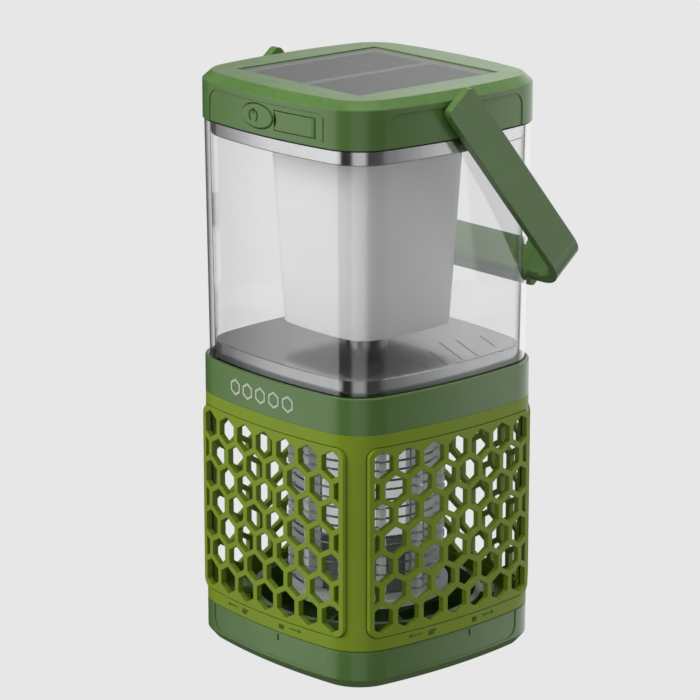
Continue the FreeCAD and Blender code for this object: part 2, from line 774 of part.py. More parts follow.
def cage_top_disc():
    body = new_body("cage_top_disc")
    low = S["cage_high"]
    high = low + S["cage_disc"]
    top = S["deck_top"] - S["deck"]
    cylinder_pad(body, 0, 0, S["cage_round"] + S["cage_rim"], low, high)
    pillars = level(body, high)
    four_circles(pillars, S["pillar_at"], S["pillar"])
    pad(body, pillars, top - high)
    hole_low = low + S["cage_disc"] / 2
    holes = level(body, hole_low)
    four_circles(holes, S["pillar_at"], S["cage_pilot"])
    pocket(body, holes, top - hole_low, Reversed=True)
    cylinder_cut(body, 0, 0, S["wire_bore"], low, high)
    return body


def grid(label, radius, start, count, bus_round, bus_angle):
    """Rings of one polarity, joined by two upright bus wires."""
    pieces = []
    for i in range(count):
        ring = document.addObject("Part::Torus", f"{label}_ring")
        bind(ring, "Radius1", radius)
        bind(ring, "Radius2", S["wire"])
        bind(ring, "Placement.Base.z", S["grid_first"] + S["grid_pitch"] * (start + 2 * i))
        pieces.append(ring)
    for angle in (bus_angle, bus_angle + 180):
        bus = document.addObject("Part::Cylinder", f"{label}_bus")
        bind(bus, "Radius", S["wire"])
        bind(bus, "Height", S["grid_pitch"] * 2 * (count - 1) + 2)
        turn = math.radians(angle)
        bind(bus, "Placement.Base.x", bus_round * math.cos(turn))
        bind(bus, "Placement.Base.y", bus_round * math.sin(turn))
        bind(bus, "Placement.Base.z", S["grid_first"] + S["grid_pitch"] * start - 1)
        pieces.append(bus)
    whole = document.addObject("Part::MultiFuse", label)
    whole.Shapes = pieces
    whole.Label = label
    return whole


def grid_live():
    bus_round = S["live_round"] + S["wire"] * 1.6
    return grid("grid_live", S["live_round"], 0, 10, bus_round, -8)


def grid_return():
    bus_round = S["return_round"] - S["wire"] * 1.6
    return grid("grid_return", S["return_round"], 1, 9, bus_round, 100)


def uv_lamp_cover():
    body = new_body("uv_lamp_cover")
    cylinder_pad(body, 0, 0, S["lamp_round"], S["lamp_low"], S["cage_high"])
    wall = S["case_wall"]
    cylinder_cut(body, 0, 0, S["lamp_round"] - wall, S["lamp_low"] + wall, S["cage_high"])
    return body


def uv_lamp_board():
    """A round board under the cage's top with a ring of lamp chips on it."""
    body = new_body("uv_lamp_board")
    top = S["cage_high"]
    low = top - S["board"]
    chip_tall = 1.4
    cylinder_pad(body, 0, 0, S["lamp_round"] - S["case_wall"] - S["play"], low, top)
    cylinder_cut(body, 0, 0, S["wire_bore"], low, top)
    chip = level(body, low - chip_tall)
    add_rectangle(chip, 12.2, -1.8, 15.8, 1.8)
    around(body, pad(body, chip, sized(chip_tall)), 8)
    return body


def hv_case():
    body = new_body("hv_case")
    low = S["cage_low"] + S["cage_disc"]
    wall = S["case_wall"]
    cylinder_pad(body, 0, 0, S["lamp_round"] + wall / 3, low, S["lamp_low"])
    cylinder_cut(body, 0, 0, S["lamp_round"] - wall, low + wall, S["lamp_low"])
    return body


def hv_board():
    """Voltage multiplier board with its transformer and two capacitors."""
    body = new_body("hv_board")
    low = S["cage_low"] + S["cage_disc"] + S["case_wall"]
    face = low + S["board"]
    cylinder_pad(body, 0, 0, 19, low, face)
    box_pad(body, -9, 3, -7, 7, face, face + 11)
    for y in (-6, 6):
        cylinder_pad(body, 9, y, 4, face, face + 9)
    return body


def screws(label, places, head, head_low, head_high, shank, shank_low, shank_high):
    """A group of upright screws, each a head and a shank."""
    pieces = []
    for x, y in places:
        parts = []
        for radius, low, high in ((head, head_low, head_high), (shank, shank_low, shank_high)):
            part = document.addObject("Part::Cylinder", f"{label}_part")
            bind(part, "Radius", radius)
            bind(part, "Height", high - low)
            bind(part, "Placement.Base.x", x)
            bind(part, "Placement.Base.y", y)
            bind(part, "Placement.Base.z", low)
            parts.append(part)
        screw = document.addObject("Part::MultiFuse", f"{label}_screw")
        screw.Shapes = parts
        pieces.append(screw)
    return compound(label, pieces)


def square_places(reach):
    return [(x, y) for x in (reach, -reach) for y in (reach, -reach)]


def cage_screws():
    top = S["deck_top"]
    low = S["cage_high"] + S["cage_disc"] / 2
    return screws("cage_screws", square_places(S["pillar_at"]), 2.6, top, top + 1.8,
                  S["cage_pilot"], low, top)


def ring_screws():
    low = S["frame_top"] - S["boss_tall"]
    return screws("ring_screws", square_places(S["boss_at"]), 2.6, low - 2, low,
                  S["ring_pilot"], low, S["frame_top"] + S["ring_pilot_deep"])


# ---- the middle ring and the lamp room ------------------------------------------------------

def middle_ring():
    body = new_body("middle_ring")
    low = S["frame_top"]
    deck_low = S["deck_top"] - S["deck"]
    solid_prism(body, 0, low, S["ring_top"])
    hollow(body, S["lip"], S["tube_seat"], S["ring_top"])
    hollow(body, S["plate_inset"] - S["fit"], S["deck_top"], S["tube_seat"])
    hollow(body, S["wall"], low, deck_low)
    bosses = level(body, low)
    four_circles(bosses, S["boss_at"], S["boss_round"])
    pad(body, bosses, deck_low - low)
    holes = level(body, low)
    four_circles(holes, S["boss_at"], S["ring_pilot"])
    pocket(body, holes, S["ring_pilot_deep"], Reversed=True)
    half = S["hook_half"]
    near = S["hook_near"]
    far = near + S["hook"]
    for start, end in ((-far, -near), (near, far)):
        box_pad(body, -half, half, start, end, low - S["hook_down"], deck_low)
        box_pad(body, start, end, -half, half, low - S["hook_down"], deck_low)
    wires = level(body, deck_low)
    add_circle(wires, 0, 0, S["wire_bore"])
    four_circles(wires, S["pillar_at"], S["clear_hole"])
    pocket(body, wires, S["deck"], Reversed=True)
    fillet(body, S["soft"], at_height(S["ring_top"].number))
    return body


def reflector_plate():
    body = new_body("reflector_plate")
    solid_prism(body, S["plate_inset"], S["deck_top"], S["plate_top"])
    hollow(body, S["plate_inset"] + S["sheet_wall"], S["deck_top"],
           S["plate_top"] - S["sheet_wall"])
    cylinder_cut(body, 0, 0, S["wire_bore"], S["plate_top"] - S["sheet_wall"], S["plate_top"])
    fillet(body, S["soft"], at_height(S["plate_top"].number, 40))
    plate_grooves(body)
    return body


def plate_grooves(body):
    """Five slanting grooves side by side in the plate's +X part."""
    floor = S["plate_top"] - S["plate_groove_deep"]
    half = S["plate_groove"] / 2
    slant = FreeCAD.Rotation(FreeCAD.Vector(0, 0, 1), -23)
    for left, right, across in ((39.5, 45.5, 9), (23.5, 43.5, 17.3), (13, 39.5, 25.3),
                                (11.3, 37, 32.7), (8.6, 26, 43.7)):
        sketch = level(body, floor)
        sketch.AttachmentOffset = FreeCAD.Placement(FreeCAD.Vector(0, 0, floor.number), slant)
        bind(sketch, "AttachmentOffset.Base.z", floor)
        add_rectangle(sketch, left, across - half, right, across + half)
        pocket(body, sketch, S["plate_groove_deep"], Reversed=True)


def lower_seal():
    body = new_body("lower_seal")
    outer = S["lip"] + S["fit"]
    ring_between(body, outer, outer + S["tube_wall"], S["tube_seat"], S["tube_seat"] + S["seal"])
    return body


def clear_window():
    body = new_body("clear_window")
    low = S["tube_seat"] + S["seal"]
    high = S["cap_bottom"] - S["seal"]
    outline_loft(body, "PartDesign::AdditiveLoft", low, S["tube_low_inset"],
                 high, S["tube_high_inset"])
    outline_loft(body, "PartDesign::SubtractiveLoft", low, S["tube_low_inset"] + S["tube_wall"],
                 high, S["tube_high_inset"] + S["tube_wall"])
    return body


def upper_seal():
    body = new_body("upper_seal")
    outer = S["tube_high_inset"] + S["fit"]
    ring_between(body, outer, outer + S["tube_wall"], S["cap_bottom"] - S["seal"],
                 S["cap_bottom"])
    return body


def top_reflector():
    """Metallised crown under the cap, with a collar that holds the diffuser."""
    body = new_body("top_reflector")
    top = S["cap_bottom"]
    solid_prism(body, S["crown_inset"], S["crown_low"], top)
    collar = level(body, S["collar_low"])
    add_scaled_outline(collar, S["collar_scale"])
    pad(body, collar, S["crown_low"] - S["collar_low"])
    hollow(body, S["crown_inset"] + S["sheet_wall"], S["crown_low"] + S["sheet_wall"], top)
    mouth = level(body, S["collar_low"])
    add_scaled_outline(mouth, S["shade_top_scale"])
    pocket(body, mouth, S["crown_low"] + S["sheet_wall"] - S["collar_low"], Reversed=True)
    fillet(body, S["soft"], at_height(S["crown_low"].number, 40))
    return body


def diffuser():
    body = new_body("diffuser")
    high = S["crown_low"] + S["sheet_wall"]
    for kind, drop, inset in (("PartDesign::AdditiveLoft", 0, 0),
                              ("PartDesign::SubtractiveLoft", S["shade_wall"], S["shade_wall"])):
        lower = level(body, S["shade_low"] + drop)
        add_scaled_outline(lower, S["shade_low_scale"], inset)
        upper = level(body, high)
        add_scaled_outline(upper, S["shade_top_scale"], inset + S["fit"])
        loft(body, kind, lower, upper)
    cylinder_cut(body, 0, 0, S["column"] + S["fit"], S["shade_low"],
                 S["shade_low"] + S["shade_wall"])
    return body


def wire_column():
    body = new_body("wire_column")
    low = S["plate_top"]
    high = S["cap_bottom"] - S["heat_plate"] - S["board"]
    cylinder_pad(body, 0, 0, S["column"], low, high)
    cylinder_pad(body, 0, 0, S["column"] + S["wall"], low, low + S["floor"])
    cylinder_cut(body, 0, 0, S["wire_bore"], low, high)
    return body


def lamp_board():
    body = new_body("lamp_board")
    sketch = level(body, S["cap_bottom"] - S["heat_plate"] - S["board"])
    add_scaled_outline(sketch, S["shade_top_scale"], S["lamp_inset"])
    add_circle(sketch, 0, 0, S["wire_bore"])
    pad(body, sketch, S["board"])
    return body


def lamp_chips():
    """White lamp chips in a ring under the lamp board."""
    wide, deep, tall = CHIP_SIZE
    low = S["cap_bottom"] - S["heat_plate"] - S["board"] - tall
    pieces = []
    for i in range(CHIP_COUNT):
        turn = math.tau * i / CHIP_COUNT
        left = CHIP_RING * math.cos(turn) - wide / 2
        front = CHIP_RING * math.sin(turn) - deep / 2
        pieces.append(block("lamp_chip", left, front, low, CHIP_SIZE))
    return compound("lamp_chips", pieces)


def lamp_heat_plate():
    body = new_body("lamp_heat_plate")
    sketch = level(body, S["cap_bottom"] - S["heat_plate"])
    add_scaled_outline(sketch, S["shade_top_scale"], S["lamp_inset"])
    add_circle(sketch, 0, 0, S["wire_bore"])
    pad(body, sketch, S["heat_plate"])
    return body


# ---- the cap --------------------------------------------------------------------------------

def top_cap():
    body = new_body("top_cap")
    low = S["cap_bottom"]
    roof = S["cap_roof"]
    recessed_prism(body, low, S["cap_shoulder"], low - S["wall"] * 4, S["recess_high"])
    outline_loft(body, "PartDesign::AdditiveLoft", S["cap_shoulder"], 0,
                 S["cap_top"], S["cap_bevel"])
    hollow(body, S["wall"], low, roof)
    square = S["panel_square"]
    box_cut(body, -square, square, -square, square, S["solar_floor"], S["cap_top"])
    bosses = level(body, S["cap_floor_top"])
    four_circles(bosses, S["cap_boss_at"], S["boss_round"])
    pad(body, bosses, roof - S["cap_floor_top"])
    holes = level(body, S["cap_floor_top"])
    four_circles(holes, S["cap_boss_at"], S["cap_pilot"])
    pocket(body, holes, S["cap_pilot_deep"] - S["floor"], Reversed=True)
    room = new_sketch(body, "YZ_Plane")
    add_circle(room, 0, S["pivot_height"], S["washer_round"] + S["play"])
    pocket(body, room, S["pivot_boss_in"] * 2, SideType="Symmetric")
    boss_long = S["pivot_boss_out"] - S["pivot_boss_in"]
    for away in (S["pivot_boss_in"], -S["pivot_boss_out"]):
        boss = new_sketch(body, "YZ_Plane", away)
        add_circle(boss, 0, S["pivot_height"], S["pivot_boss"])
        pad(body, boss, boss_long)
    bore = new_sketch(body, "YZ_Plane")
    add_circle(bore, 0, S["pivot_height"], S["pivot_round"] + S["fit"])
    pocket(body, bore, None, SideType="Symmetric")
    button = new_sketch(body, "XZ_Plane")
    add_ellipse(button, S["button_x"], S["button_z"], S["button_half"] + S["play"],
                S["button_rise"] + S["play"])
    pocket(body, button, S["past"], Reversed=True)
    box_pad(body, 7.5, 32, -50.2, -46, S["cap_floor_top"] + S["play"], 221.5)
    recess = new_sketch(body, "XZ_Plane", S["port_floor"])
    add_rectangle(recess, S["port_left"], S["port_z"] - S["port_half"],
                  S["port_right"], S["port_z"] + S["port_half"])
    pocket(body, recess, S["past"], Reversed=True)
    socket_hole = new_sketch(body, "XZ_Plane", S["socket_back"])
    add_rectangle(socket_hole, S["socket_left"], S["port_z"] - S["socket_rise"],
                  S["socket_right"], S["port_z"] + S["socket_rise"])
    pocket(body, socket_hole, S["past"], Reversed=True)
    pin_hole = S["port_half"] + S["hinge_pin_tip"]
    cylinder_cut(body, S["hinge_x"], -S["hinge_y"], S["hinge_pin"] + S["fit"],
                 S["port_z"] - pin_hole, S["port_z"] + pin_hole)
    fillet(body, S["soft"], at_height(S["cap_top"].number, 45))
    fillet(body, S["soft"], at_height(S["cap_shoulder"].number, 50))
    return body


def cap_floor():
    body = new_body("cap_floor")
    top = S["cap_floor_top"]
    solid_prism(body, S["wall"] + S["fit"], S["cap_bottom"], top)
    holes = level(body, S["cap_bottom"])
    four_circles(holes, S["cap_boss_at"], S["ring_pilot"])
    add_circle(holes, 0, 0, S["wire_bore"])
    pocket(body, holes, S["floor"], Reversed=True)
    half = S["button_half"] + S["button_flange_rim"] + S["play"] * 2
    deep = S["button_flange_deep"] + S["play"]
    box_cut(body, S["button_x"] - half, S["button_x"] + half, -S["half_width"],
            deep - S["button_flange"], top - deep, top)
    return body


def cap_screws():
    low = S["cap_bottom"]
    return screws("cap_screws", square_places(S["cap_boss_at"]), 2.4, low - 1.8, low,
                  S["cap_pilot"], low, low + S["cap_pilot_deep"])


def solar_backing():
    body = new_body("solar_backing")
    half = S["solar_half"]
    low = S["solar_floor"]
    box_pad(body, -half, half, -half, half, low, low + S["resin"])
    return body


def cell_places():
    return [(left, S["cell_start"] + S["cell_step"] * i)
            for left in (S["cell_start"], S["cell_second"]) for i in range(STRIP_COUNT)]


def solar_cells():
    """Two blocks of cell strips, side by side on the backing."""
    low = S["solar_floor"] + S["resin"]
    sizes = (S["cell_length"], S["cell_width"], S["cell_sheet"])
    return compound("solar_cells", [block("cell_strip", left, front, low, sizes)
                                    for left, front in cell_places()])


def solar_cover():
    """Clear resin cast over the cells."""
    body = new_body("solar_cover")
    half = S["solar_half"]
    low = S["solar_floor"] + S["resin"]
    box_pad(body, -half, half, -half, half, low, low + S["resin"])
    for left, front in cell_places():
        box_cut(body, left, left + S["cell_length"], front, front + S["cell_width"],
                low, low + S["cell_sheet"])
    return body


def battery_pack():
    body = new_body("battery_pack")
    low = S["cap_floor_top"]
    box_pad(body, -31, 31, -6, 36, low, low + 8)
    fillet(body, sized(1.5), lambda edge: True)
    return body


def control_board():
    body = new_body("control_board")
    top = S["port_z"] - S["socket_rise"]
    low = top - S["board"]
    box_pad(body, -34, 34, -45.4, -10, low, top)
    for x in (-30, 30):
        for y in (-40, -14):
            cylinder_pad(body, x, y, 2.2, S["cap_floor_top"], low)
    return body


def board_parts():
    """Charger chip, coil and capacitors on the control board."""
    low = S["port_z"] - S["socket_rise"]
    return compound("board_parts", [block("board_part", left, front, low, sizes)
                                    for left, front, *sizes in BOARD_PARTS])


def usb_socket():
    """Charging inlet: a flat steel shell with its tongue."""
    body = new_body("usb_socket")
    sheet_wide = S["socket_sheet"]
    for kind, back, inset in ((pad, S["socket_back"], 0), (pocket, S["socket_mouth"], sheet_wide),
                              (pad, S["socket_tongue"], 0)):
        rise = S["socket_rise"] - inset
        left = S["socket_left"] + inset
        right = S["socket_right"] - inset
        length = S["port_floor"] - back
        settings = {"Reversed": True} if kind is pocket else {}
        if back is S["socket_tongue"]:
            rise = sheet_wide
            left = left + sheet_wide * 3.5
            right = right - sheet_wide * 3.5
            length = length - sheet_wide * 3
        outline = new_sketch(body, "XZ_Plane", back)
        add_rectangle(outline, left, S["port_z"] - rise, right, S["port_z"] + rise)
        kind(body, outline, length, **settings)
    return body


def tact_switch():
    body = new_body("tact_switch")
    low = S["port_z"] - S["socket_rise"]
    x = S["button_x"]
    box_pad(body, x - 3, x + 3, -46.9, -43.4, low, low + 4.6)
    return body


def power_button():
    """Oval button: a cap in the front wall and a flange behind it."""
    body = new_body("power_button")
    face = new_sketch(body, "XZ_Plane", S["button_back"])
    add_ellipse(face, S["button_x"], S["button_z"], S["button_half"], S["button_rise"])
    pad(body, face, S["button_front"] - S["button_back"])
    rim = S["button_flange_rim"]
    flange = new_sketch(body, "XZ_Plane", S["button_flange"])
    add_ellipse(flange, S["button_x"], S["button_z"], S["button_half"] + rim,
                S["button_rise"] + rim)
    pad(body, flange, S["button_flange_deep"])
    front = -S["button_front"].number
    fillet(body, S["soft"], lambda edge: abs(edge.BoundBox.YMax - front) < 0.01)
    return body


def port_cover():
    body = new_body("port_cover")
    low = S["port_z"] - S["port_half"] + S["play"]
    high = S["port_z"] + S["port_half"] - S["play"]
    plate = level(body, low)
    add_face_strip(plate, S["port_left"] + S["play"], S["hinge_x"], S["recess"], S["cover_sheet"])
    pad(body, plate, high - low)
    cylinder_pad(body, S["hinge_x"], -S["hinge_y"], S["hinge_round"], low, high)
    corner = new_sketch(body, "XZ_Plane")
    clear = S["cover_sheet"] + S["play"]
    add_ellipse(corner, S["button_x"], S["button_z"], S["button_half"] + clear,
                S["button_rise"] + clear)
    pocket(body, corner, S["past"], Reversed=True)
    tip = S["hinge_pin_tip"]
    cylinder_pad(body, S["hinge_x"], -S["hinge_y"], S["hinge_pin"], low - tip, high + tip)
    return body


# ---- the handle -----------------------------------------------------------------------------

def hang(thing):
    """Turn a piece drawn hanging straight down to the handle's resting angle."""
    thing.Placement = FreeCAD.Placement(
        FreeCAD.Vector(0, 0, S["pivot_height"].number),
        FreeCAD.Rotation(FreeCAD.Vector(1, 0, 0), S["handle_hang"].number))
    bind(thing, "Placement.Base.z", S["pivot_height"])
    bind(thing, "Placement.Rotation.Angle", S["handle_hang"])
    return thing


def carry_handle():
    body = new_body("carry_handle")
    out = S["strap_out"]
    inside = S["strap_in"]
    thick = out - inside
    side = new_sketch(body, "XZ_Plane")
    end = S["strap_end"]
    reach = S["bar_reach"]
    add_polygon(side, (
        (-out, end), (-out, -reach), (out, -reach), (out, end),
        (inside, end), (inside, thick - reach), (-inside, thick - reach), (-inside, end)))
    pad(body, side, S["strap_half"] * 2, SideType="Symmetric")

    def upright_bend(distance):
        def test(edge):
            box = edge.BoundBox
            across = box.YLength > 5 and box.XLength < 0.01 and box.ZLength < 0.01
            low = box.ZMin < -reach.number + thick.number + 0.1
            return across and low and abs(abs(box.XMin) - distance) < 0.01
        return test

    fillet(body, S["strap_bend"], upright_bend(out.number))
    fillet(body, S["strap_bend"] - thick, upright_bend(inside.number))
    def arm_end(edge):
        box = edge.BoundBox
        along = box.XLength > 1 and box.YLength < 0.01 and box.ZLength < 0.01
        return along and abs(box.ZMin - end.number) < 0.01

    fillet(body, sized(2.5), arm_end)
    grip(body)
    root = inside + S["play"]
    for away in (S["pin_end"], -root):
        boss = new_sketch(body, "YZ_Plane", away)
        add_circle(boss, 0, 0, S["pivot_round"])
        pad(body, boss, root - S["pin_end"])
    thread = new_sketch(body, "YZ_Plane")
    add_circle(thread, 0, 0, S["cap_pilot"] + S["fit"])
    pocket(body, thread, S["pivot_boss_out"] * 2 + S["play"], SideType="Symmetric")
    return hang(body)


def grip(body):
    """A wider grip round the bar, and the flat that leans towards the window."""
    half = S["grip_half"]
    low = -S["grip_low"]
    high = -S["grip_high"]
    edge = S["soft"] * 2
    outline = new_sketch(body, "YZ_Plane")
    add_polygon(outline, ((-half, low), (half, low), (half, high + edge), (half - edge, high),
                          (edge - half, high), (-half, high + edge)))
    pad(body, outline, S["grip_end"] * 2, SideType="Symmetric")
    slope = math.radians(S["handle_hang"].number)
    foot = S["lean_face"] / math.sin(slope)
    run = math.cos(slope) / math.sin(slope)
    near = -half - 1
    flat = new_sketch(body, "YZ_Plane")
    add_polygon(flat, ((near, near * run - foot), (0, -foot), (0, 10 - foot), (near, 10 - foot)))
    pocket(body, flat, S["lean_end"] * 2, SideType="Symmetric")


def pivot_group(label, steps):
    """Pieces on the handle's pivot, mirrored on both sides: (radius, from, to, hole) steps."""
    pieces = []
    for direction in (1, -1):
        parts = []
        for radius, start, end in steps:
            part = document.addObject("Part::Cylinder", f"{label}_part")
            bind(part, "Radius", radius)
            bind(part, "Height", end - start)
            part.Placement = FreeCAD.Placement(
                FreeCAD.Vector((start * direction).number, 0, S["pivot_height"].number),
                FreeCAD.Rotation(FreeCAD.Vector(0, 1, 0), 90 * direction))
            bind(part, "Placement.Base.x", start * direction)
            bind(part, "Placement.Base.z", S["pivot_height"])
            parts.append(part)
        pieces.append(parts)
    return pieces


def pivot_washers():
    rings = []
    end = S["pin_end"]
    start = end - S["washer"]
    steps = ((S["washer_round"], start, end), (S["clear_hole"], start, end))
    for disc, hole in pivot_group("washer", steps):
        ring = document.addObject("Part::Cut", "washer_ring")
        ring.Base = disc
        ring.Tool = hole
        rings.append(ring)
    return compound("pivot_washers", rings)


def pivot_screws():
    screws_made = []
    seat = S["pin_end"] - S["washer"]
    steps = ((2.8, seat - 2, seat), (S["cap_pilot"], seat, S["pivot_boss_out"]))
    for parts in pivot_group("pivot_screw", steps):
        screw = document.addObject("Part::MultiFuse", "pivot_screw")
        screw.Shapes = parts
        screws_made.append(screw)
    return compound("pivot_screws", screws_made)


# ---- writing --------------------------------------------------------------------------------

def check_document():
    failed = [f"{thing.Name} in {[parent.Label for parent in thing.InList]}: "
              f"{thing.getStatusString()}"
              for thing in document.Objects if {"Invalid", "Error"} & set(thing.State)]
    if failed:
        raise RuntimeError("\n".join(failed))


def write(pieces):
    os.makedirs("parts", exist_ok=True)
    for piece in pieces:
        shape = piece.Shape
        if shape.isNull() or not shape.isValid() or not shape.Solids:
            raise RuntimeError(f"{piece.Label} has no valid solid")
        shape.exportStep(os.path.join("parts", f"{piece.Label}.step"))
        print(f"{piece.Label}: {len(shape.Solids)} solids, {shape.Volume:.0f} mm3")


S = fill_sheet()
makers = (
    base_tray, grille_frame, cage_body, cage_top_disc, grid_live, grid_return, uv_lamp_cover,
    uv_lamp_board, hv_case, hv_board, cage_screws, ring_screws, middle_ring, reflector_plate,
    lower_seal, clear_window, upper_seal, top_reflector, diffuser, wire_column, lamp_board,
    lamp_chips, lamp_heat_plate, top_cap, cap_floor, cap_screws, solar_backing, solar_cells,
    solar_cover, battery_pack, control_board, board_parts, usb_socket, tact_switch,
    power_button, port_cover, carry_handle, pivot_washers, pivot_screws)
pieces = [maker() for maker in makers]
pieces += [grille_panel(side, angle) for side, angle in FACES]
document.recompute()
check_document()
write(pieces)
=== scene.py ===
"""Looks of the solar lantern with insect zapper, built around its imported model.

Metres, in the model's own frame: +Z up, the power button looks along -Y, and the carry handle
turns on the X faces.
"""

import bpy
import math
from mathutils import Matrix, Vector


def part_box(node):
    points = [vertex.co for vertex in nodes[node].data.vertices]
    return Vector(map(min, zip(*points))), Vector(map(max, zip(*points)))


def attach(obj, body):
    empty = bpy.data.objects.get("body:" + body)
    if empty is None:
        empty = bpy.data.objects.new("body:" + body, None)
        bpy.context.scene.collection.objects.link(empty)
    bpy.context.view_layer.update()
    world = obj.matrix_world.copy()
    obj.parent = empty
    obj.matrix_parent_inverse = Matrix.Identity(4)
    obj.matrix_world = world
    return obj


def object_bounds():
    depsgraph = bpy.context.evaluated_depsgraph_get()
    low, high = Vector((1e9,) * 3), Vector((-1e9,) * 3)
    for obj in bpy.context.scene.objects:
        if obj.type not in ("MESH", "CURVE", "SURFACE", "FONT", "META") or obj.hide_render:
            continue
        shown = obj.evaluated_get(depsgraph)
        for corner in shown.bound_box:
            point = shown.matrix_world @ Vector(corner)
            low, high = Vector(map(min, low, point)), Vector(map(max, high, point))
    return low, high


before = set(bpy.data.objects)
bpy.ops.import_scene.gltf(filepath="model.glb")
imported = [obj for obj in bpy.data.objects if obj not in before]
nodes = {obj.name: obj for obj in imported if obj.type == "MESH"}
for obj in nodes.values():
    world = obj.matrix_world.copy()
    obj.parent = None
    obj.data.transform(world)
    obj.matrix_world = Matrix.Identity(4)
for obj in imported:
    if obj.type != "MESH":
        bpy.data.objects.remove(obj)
cad_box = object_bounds()

FACE_ARC = 0.2276          # radius of the gently curved faces
HALF_WIDTH = 0.0525        # half the width over the middle of two faces
BASE_RECESS = -0.00035     # the base's faces lie this much behind the lime ones

# the light tent: (direction round the object in degrees from +X, brightness)
TENT = (
    (-180, 0.05), (-163, 0.08), (-153, 0.4), (-140, 0.9), (-126, 0.95), (-98, 0.95),
    (-93, 0.1), (-88, 0.03), (-66, 0.05), (-57, 0.6), (-30, 0.6), (-20, 0.07),
    (12, 0.08), (24, 0.16), (36, 0.5), (48, 0.85), (62, 1.0), (100, 0.95), (135, 0.9),
    (141, 0.25), (147, 0.07), (180, 0.05),
)
PIT = 0.08                 # what shiny parts see below them
# soft panels that light the object: name, place, width, strength
PANELS = (
    ("key_left", (-0.25, -0.85, 0.60), 0.5, 6.2),
    ("fill_right", (0.90, 0.25, 0.50), 0.6, 0.7),
    ("top_soft", (0.10, 0.10, 1.10), 0.6, 8.6),
)
PANEL_AIM = (0, 0, 0.11)   # the point that they shine at
SOFT_SKY = 0.34            # even light from all round
FLOOR_BOUNCE = 0.6         # share of the floor's brightness that reaches the object
ROOF = 0.15                # what shiny parts see above them
ROOF_EDGE = (0.45, 0.75)   # upward share of a direction where that starts and is full
PIT_EDGE = (-0.36, -0.5)   # the same for what is below
BACKDROP = (231, 231, 231)
FLOOR_RADIUS = 9
LENS = 176.56              # millimetres, as is the sensor
SENSOR = 36
CAMERA_PLACE = (0.96282, -0.85409, 0.47435)
CAMERA_AIM = (-0.00435, -0.00491, 0.1169)
CLIP_START = 0.05

# the solar cells' pattern
STRIP_HALF = 0.0022        # half the plain strip between the two blocks
BLOCK_HALF = 0.0272        # how far the blocks reach from the middle
FINGER_PITCH = 0.0021
FINGER_HALF = 0.0003

# the raised and printed marks
SYMBOL_RING = 0.0023       # radius of the stand-by ring, and length of its dash
SYMBOL_LINE = 0.00055      # width of the symbol's strokes
SYMBOL_DEEP = 0.0003       # their thickness, half of it sunk in the button
SYMBOL_SOFT = 0.00012      # rounding of the dash's edges
SYMBOL_ARC = (125, 415)    # where the ring starts and ends, in degrees
SYMBOL_UP = 0.0018         # the dash's middle over the ring's
SYMBOL_ASIDE = 0.0017      # how far the symbol sits left of the button's middle
MARK_LINE = 0.0004         # width and depth of the lock marks' strokes
MARK_SOFT = 0.00008        # rounding of their edges
MARK_UP = 0.0030           # their height over the grille frame's lower edge
LOCK_PLACES = ((-0.0130, True), (0.0095, False))
ARROW_PLACES = ((-0.0200, -1), (0.0165, 1))
CASE_SIZE = (0.0026, MARK_LINE, 0.0019)
CASE_DROP = 0.0005         # how far a padlock's case sits below the mark's middle
CASE_SOFT = 0.00018
HOOP_RADIUS = 0.00085      # of a padlock's bow
HOOP_UP = 0.0004           # its height over the mark's middle
OPEN_UP = 0.0007           # the same when it is lifted open
OPEN_ASIDE = 0.0012        # how far the open one is turned to the right
LEG_LENGTH = 0.0008        # of the bow's left leg
LEG_DROP = 0.0003          # the leg's middle below the bow's centre
SHAFT_LENGTH = 0.0052      # of an arrow
HEAD_RADIUS = 0.0009
HEAD_AT = 0.003            # the arrow head's distance from the shaft's middle
TICK_SIZE = (0.0006, 0.0005, 0.0026)
TICK_ACROSS = 0.0072       # right of the face's middle
TICK_SOFT = 0.00012
MARK_DROP = 0.0073         # from the upper edge of the base or ring to its mark's middle
HEXAGON_RADIUS = 0.0034
HEXAGON_RIM = 0.0008
HEXAGON_COUNT = 5
HEXAGON_PITCH = 0.0078
HEXAGON_FIRST = -0.0175    # where the row starts, across the face
PRINT_DEEP = 0.00012       # how far the print stands out

SMOOTH_BELOW = 35          # faces meeting at less than this many degrees are shaded smooth
DUST_TONE = (205, 205, 198)
COAT_ROUGHNESS = 0.16      # of a glossy moulding's clear top layer


# ---- colour -----------------------------------------------------------------------------------

def linear(level):
    """One channel of a paint colour, given from 0 to 255, as the renderer wants it."""
    share = level / 255
    if share <= 0.04045:
        return share / 12.92
    return ((share + 0.055) / 1.055) ** 2.4


def paint(red, green, blue):
    """A paint colour from its three channels, each from 0 to 255."""
    return linear(red), linear(green), linear(blue), 1.0


def grey(level):
    """A neutral colour of the renderer's own scale, from 0 to 1."""
    return level, level, level, 1.0


# ---- modelling --------------------------------------------------------------------------------

def deselect_all():
    """Leave edit mode and select nothing."""
    if bpy.context.mode != "OBJECT":
        bpy.ops.object.mode_set(mode="OBJECT")
    bpy.ops.object.select_all(action="DESELECT")


def activate(piece):
    """Make the piece the only selected one, and the active one."""
    deselect_all()
    piece.select_set(True)
    bpy.context.view_layer.objects.active = piece
    return piece


def bevel_edges(piece, width, segments=2):
    """Round the piece's sharp edges."""
    modifier = activate(piece).modifiers.new("round", "BEVEL")
    modifier.width = width
    modifier.segments = segments
    modifier.limit_method = "ANGLE"
    bpy.ops.object.modifier_apply(modifier=modifier.name)


def block(across, deep, high, at=(0, 0, 0), edge=0.0001):
    """A small block with rounded edges."""
    deselect_all()
    bpy.ops.mesh.primitive_cube_add(size=1, location=at)
    piece = bpy.context.active_object
    piece.scale = (across, deep, high)
    settle(piece)
    bevel_edges(piece, edge)
    return piece


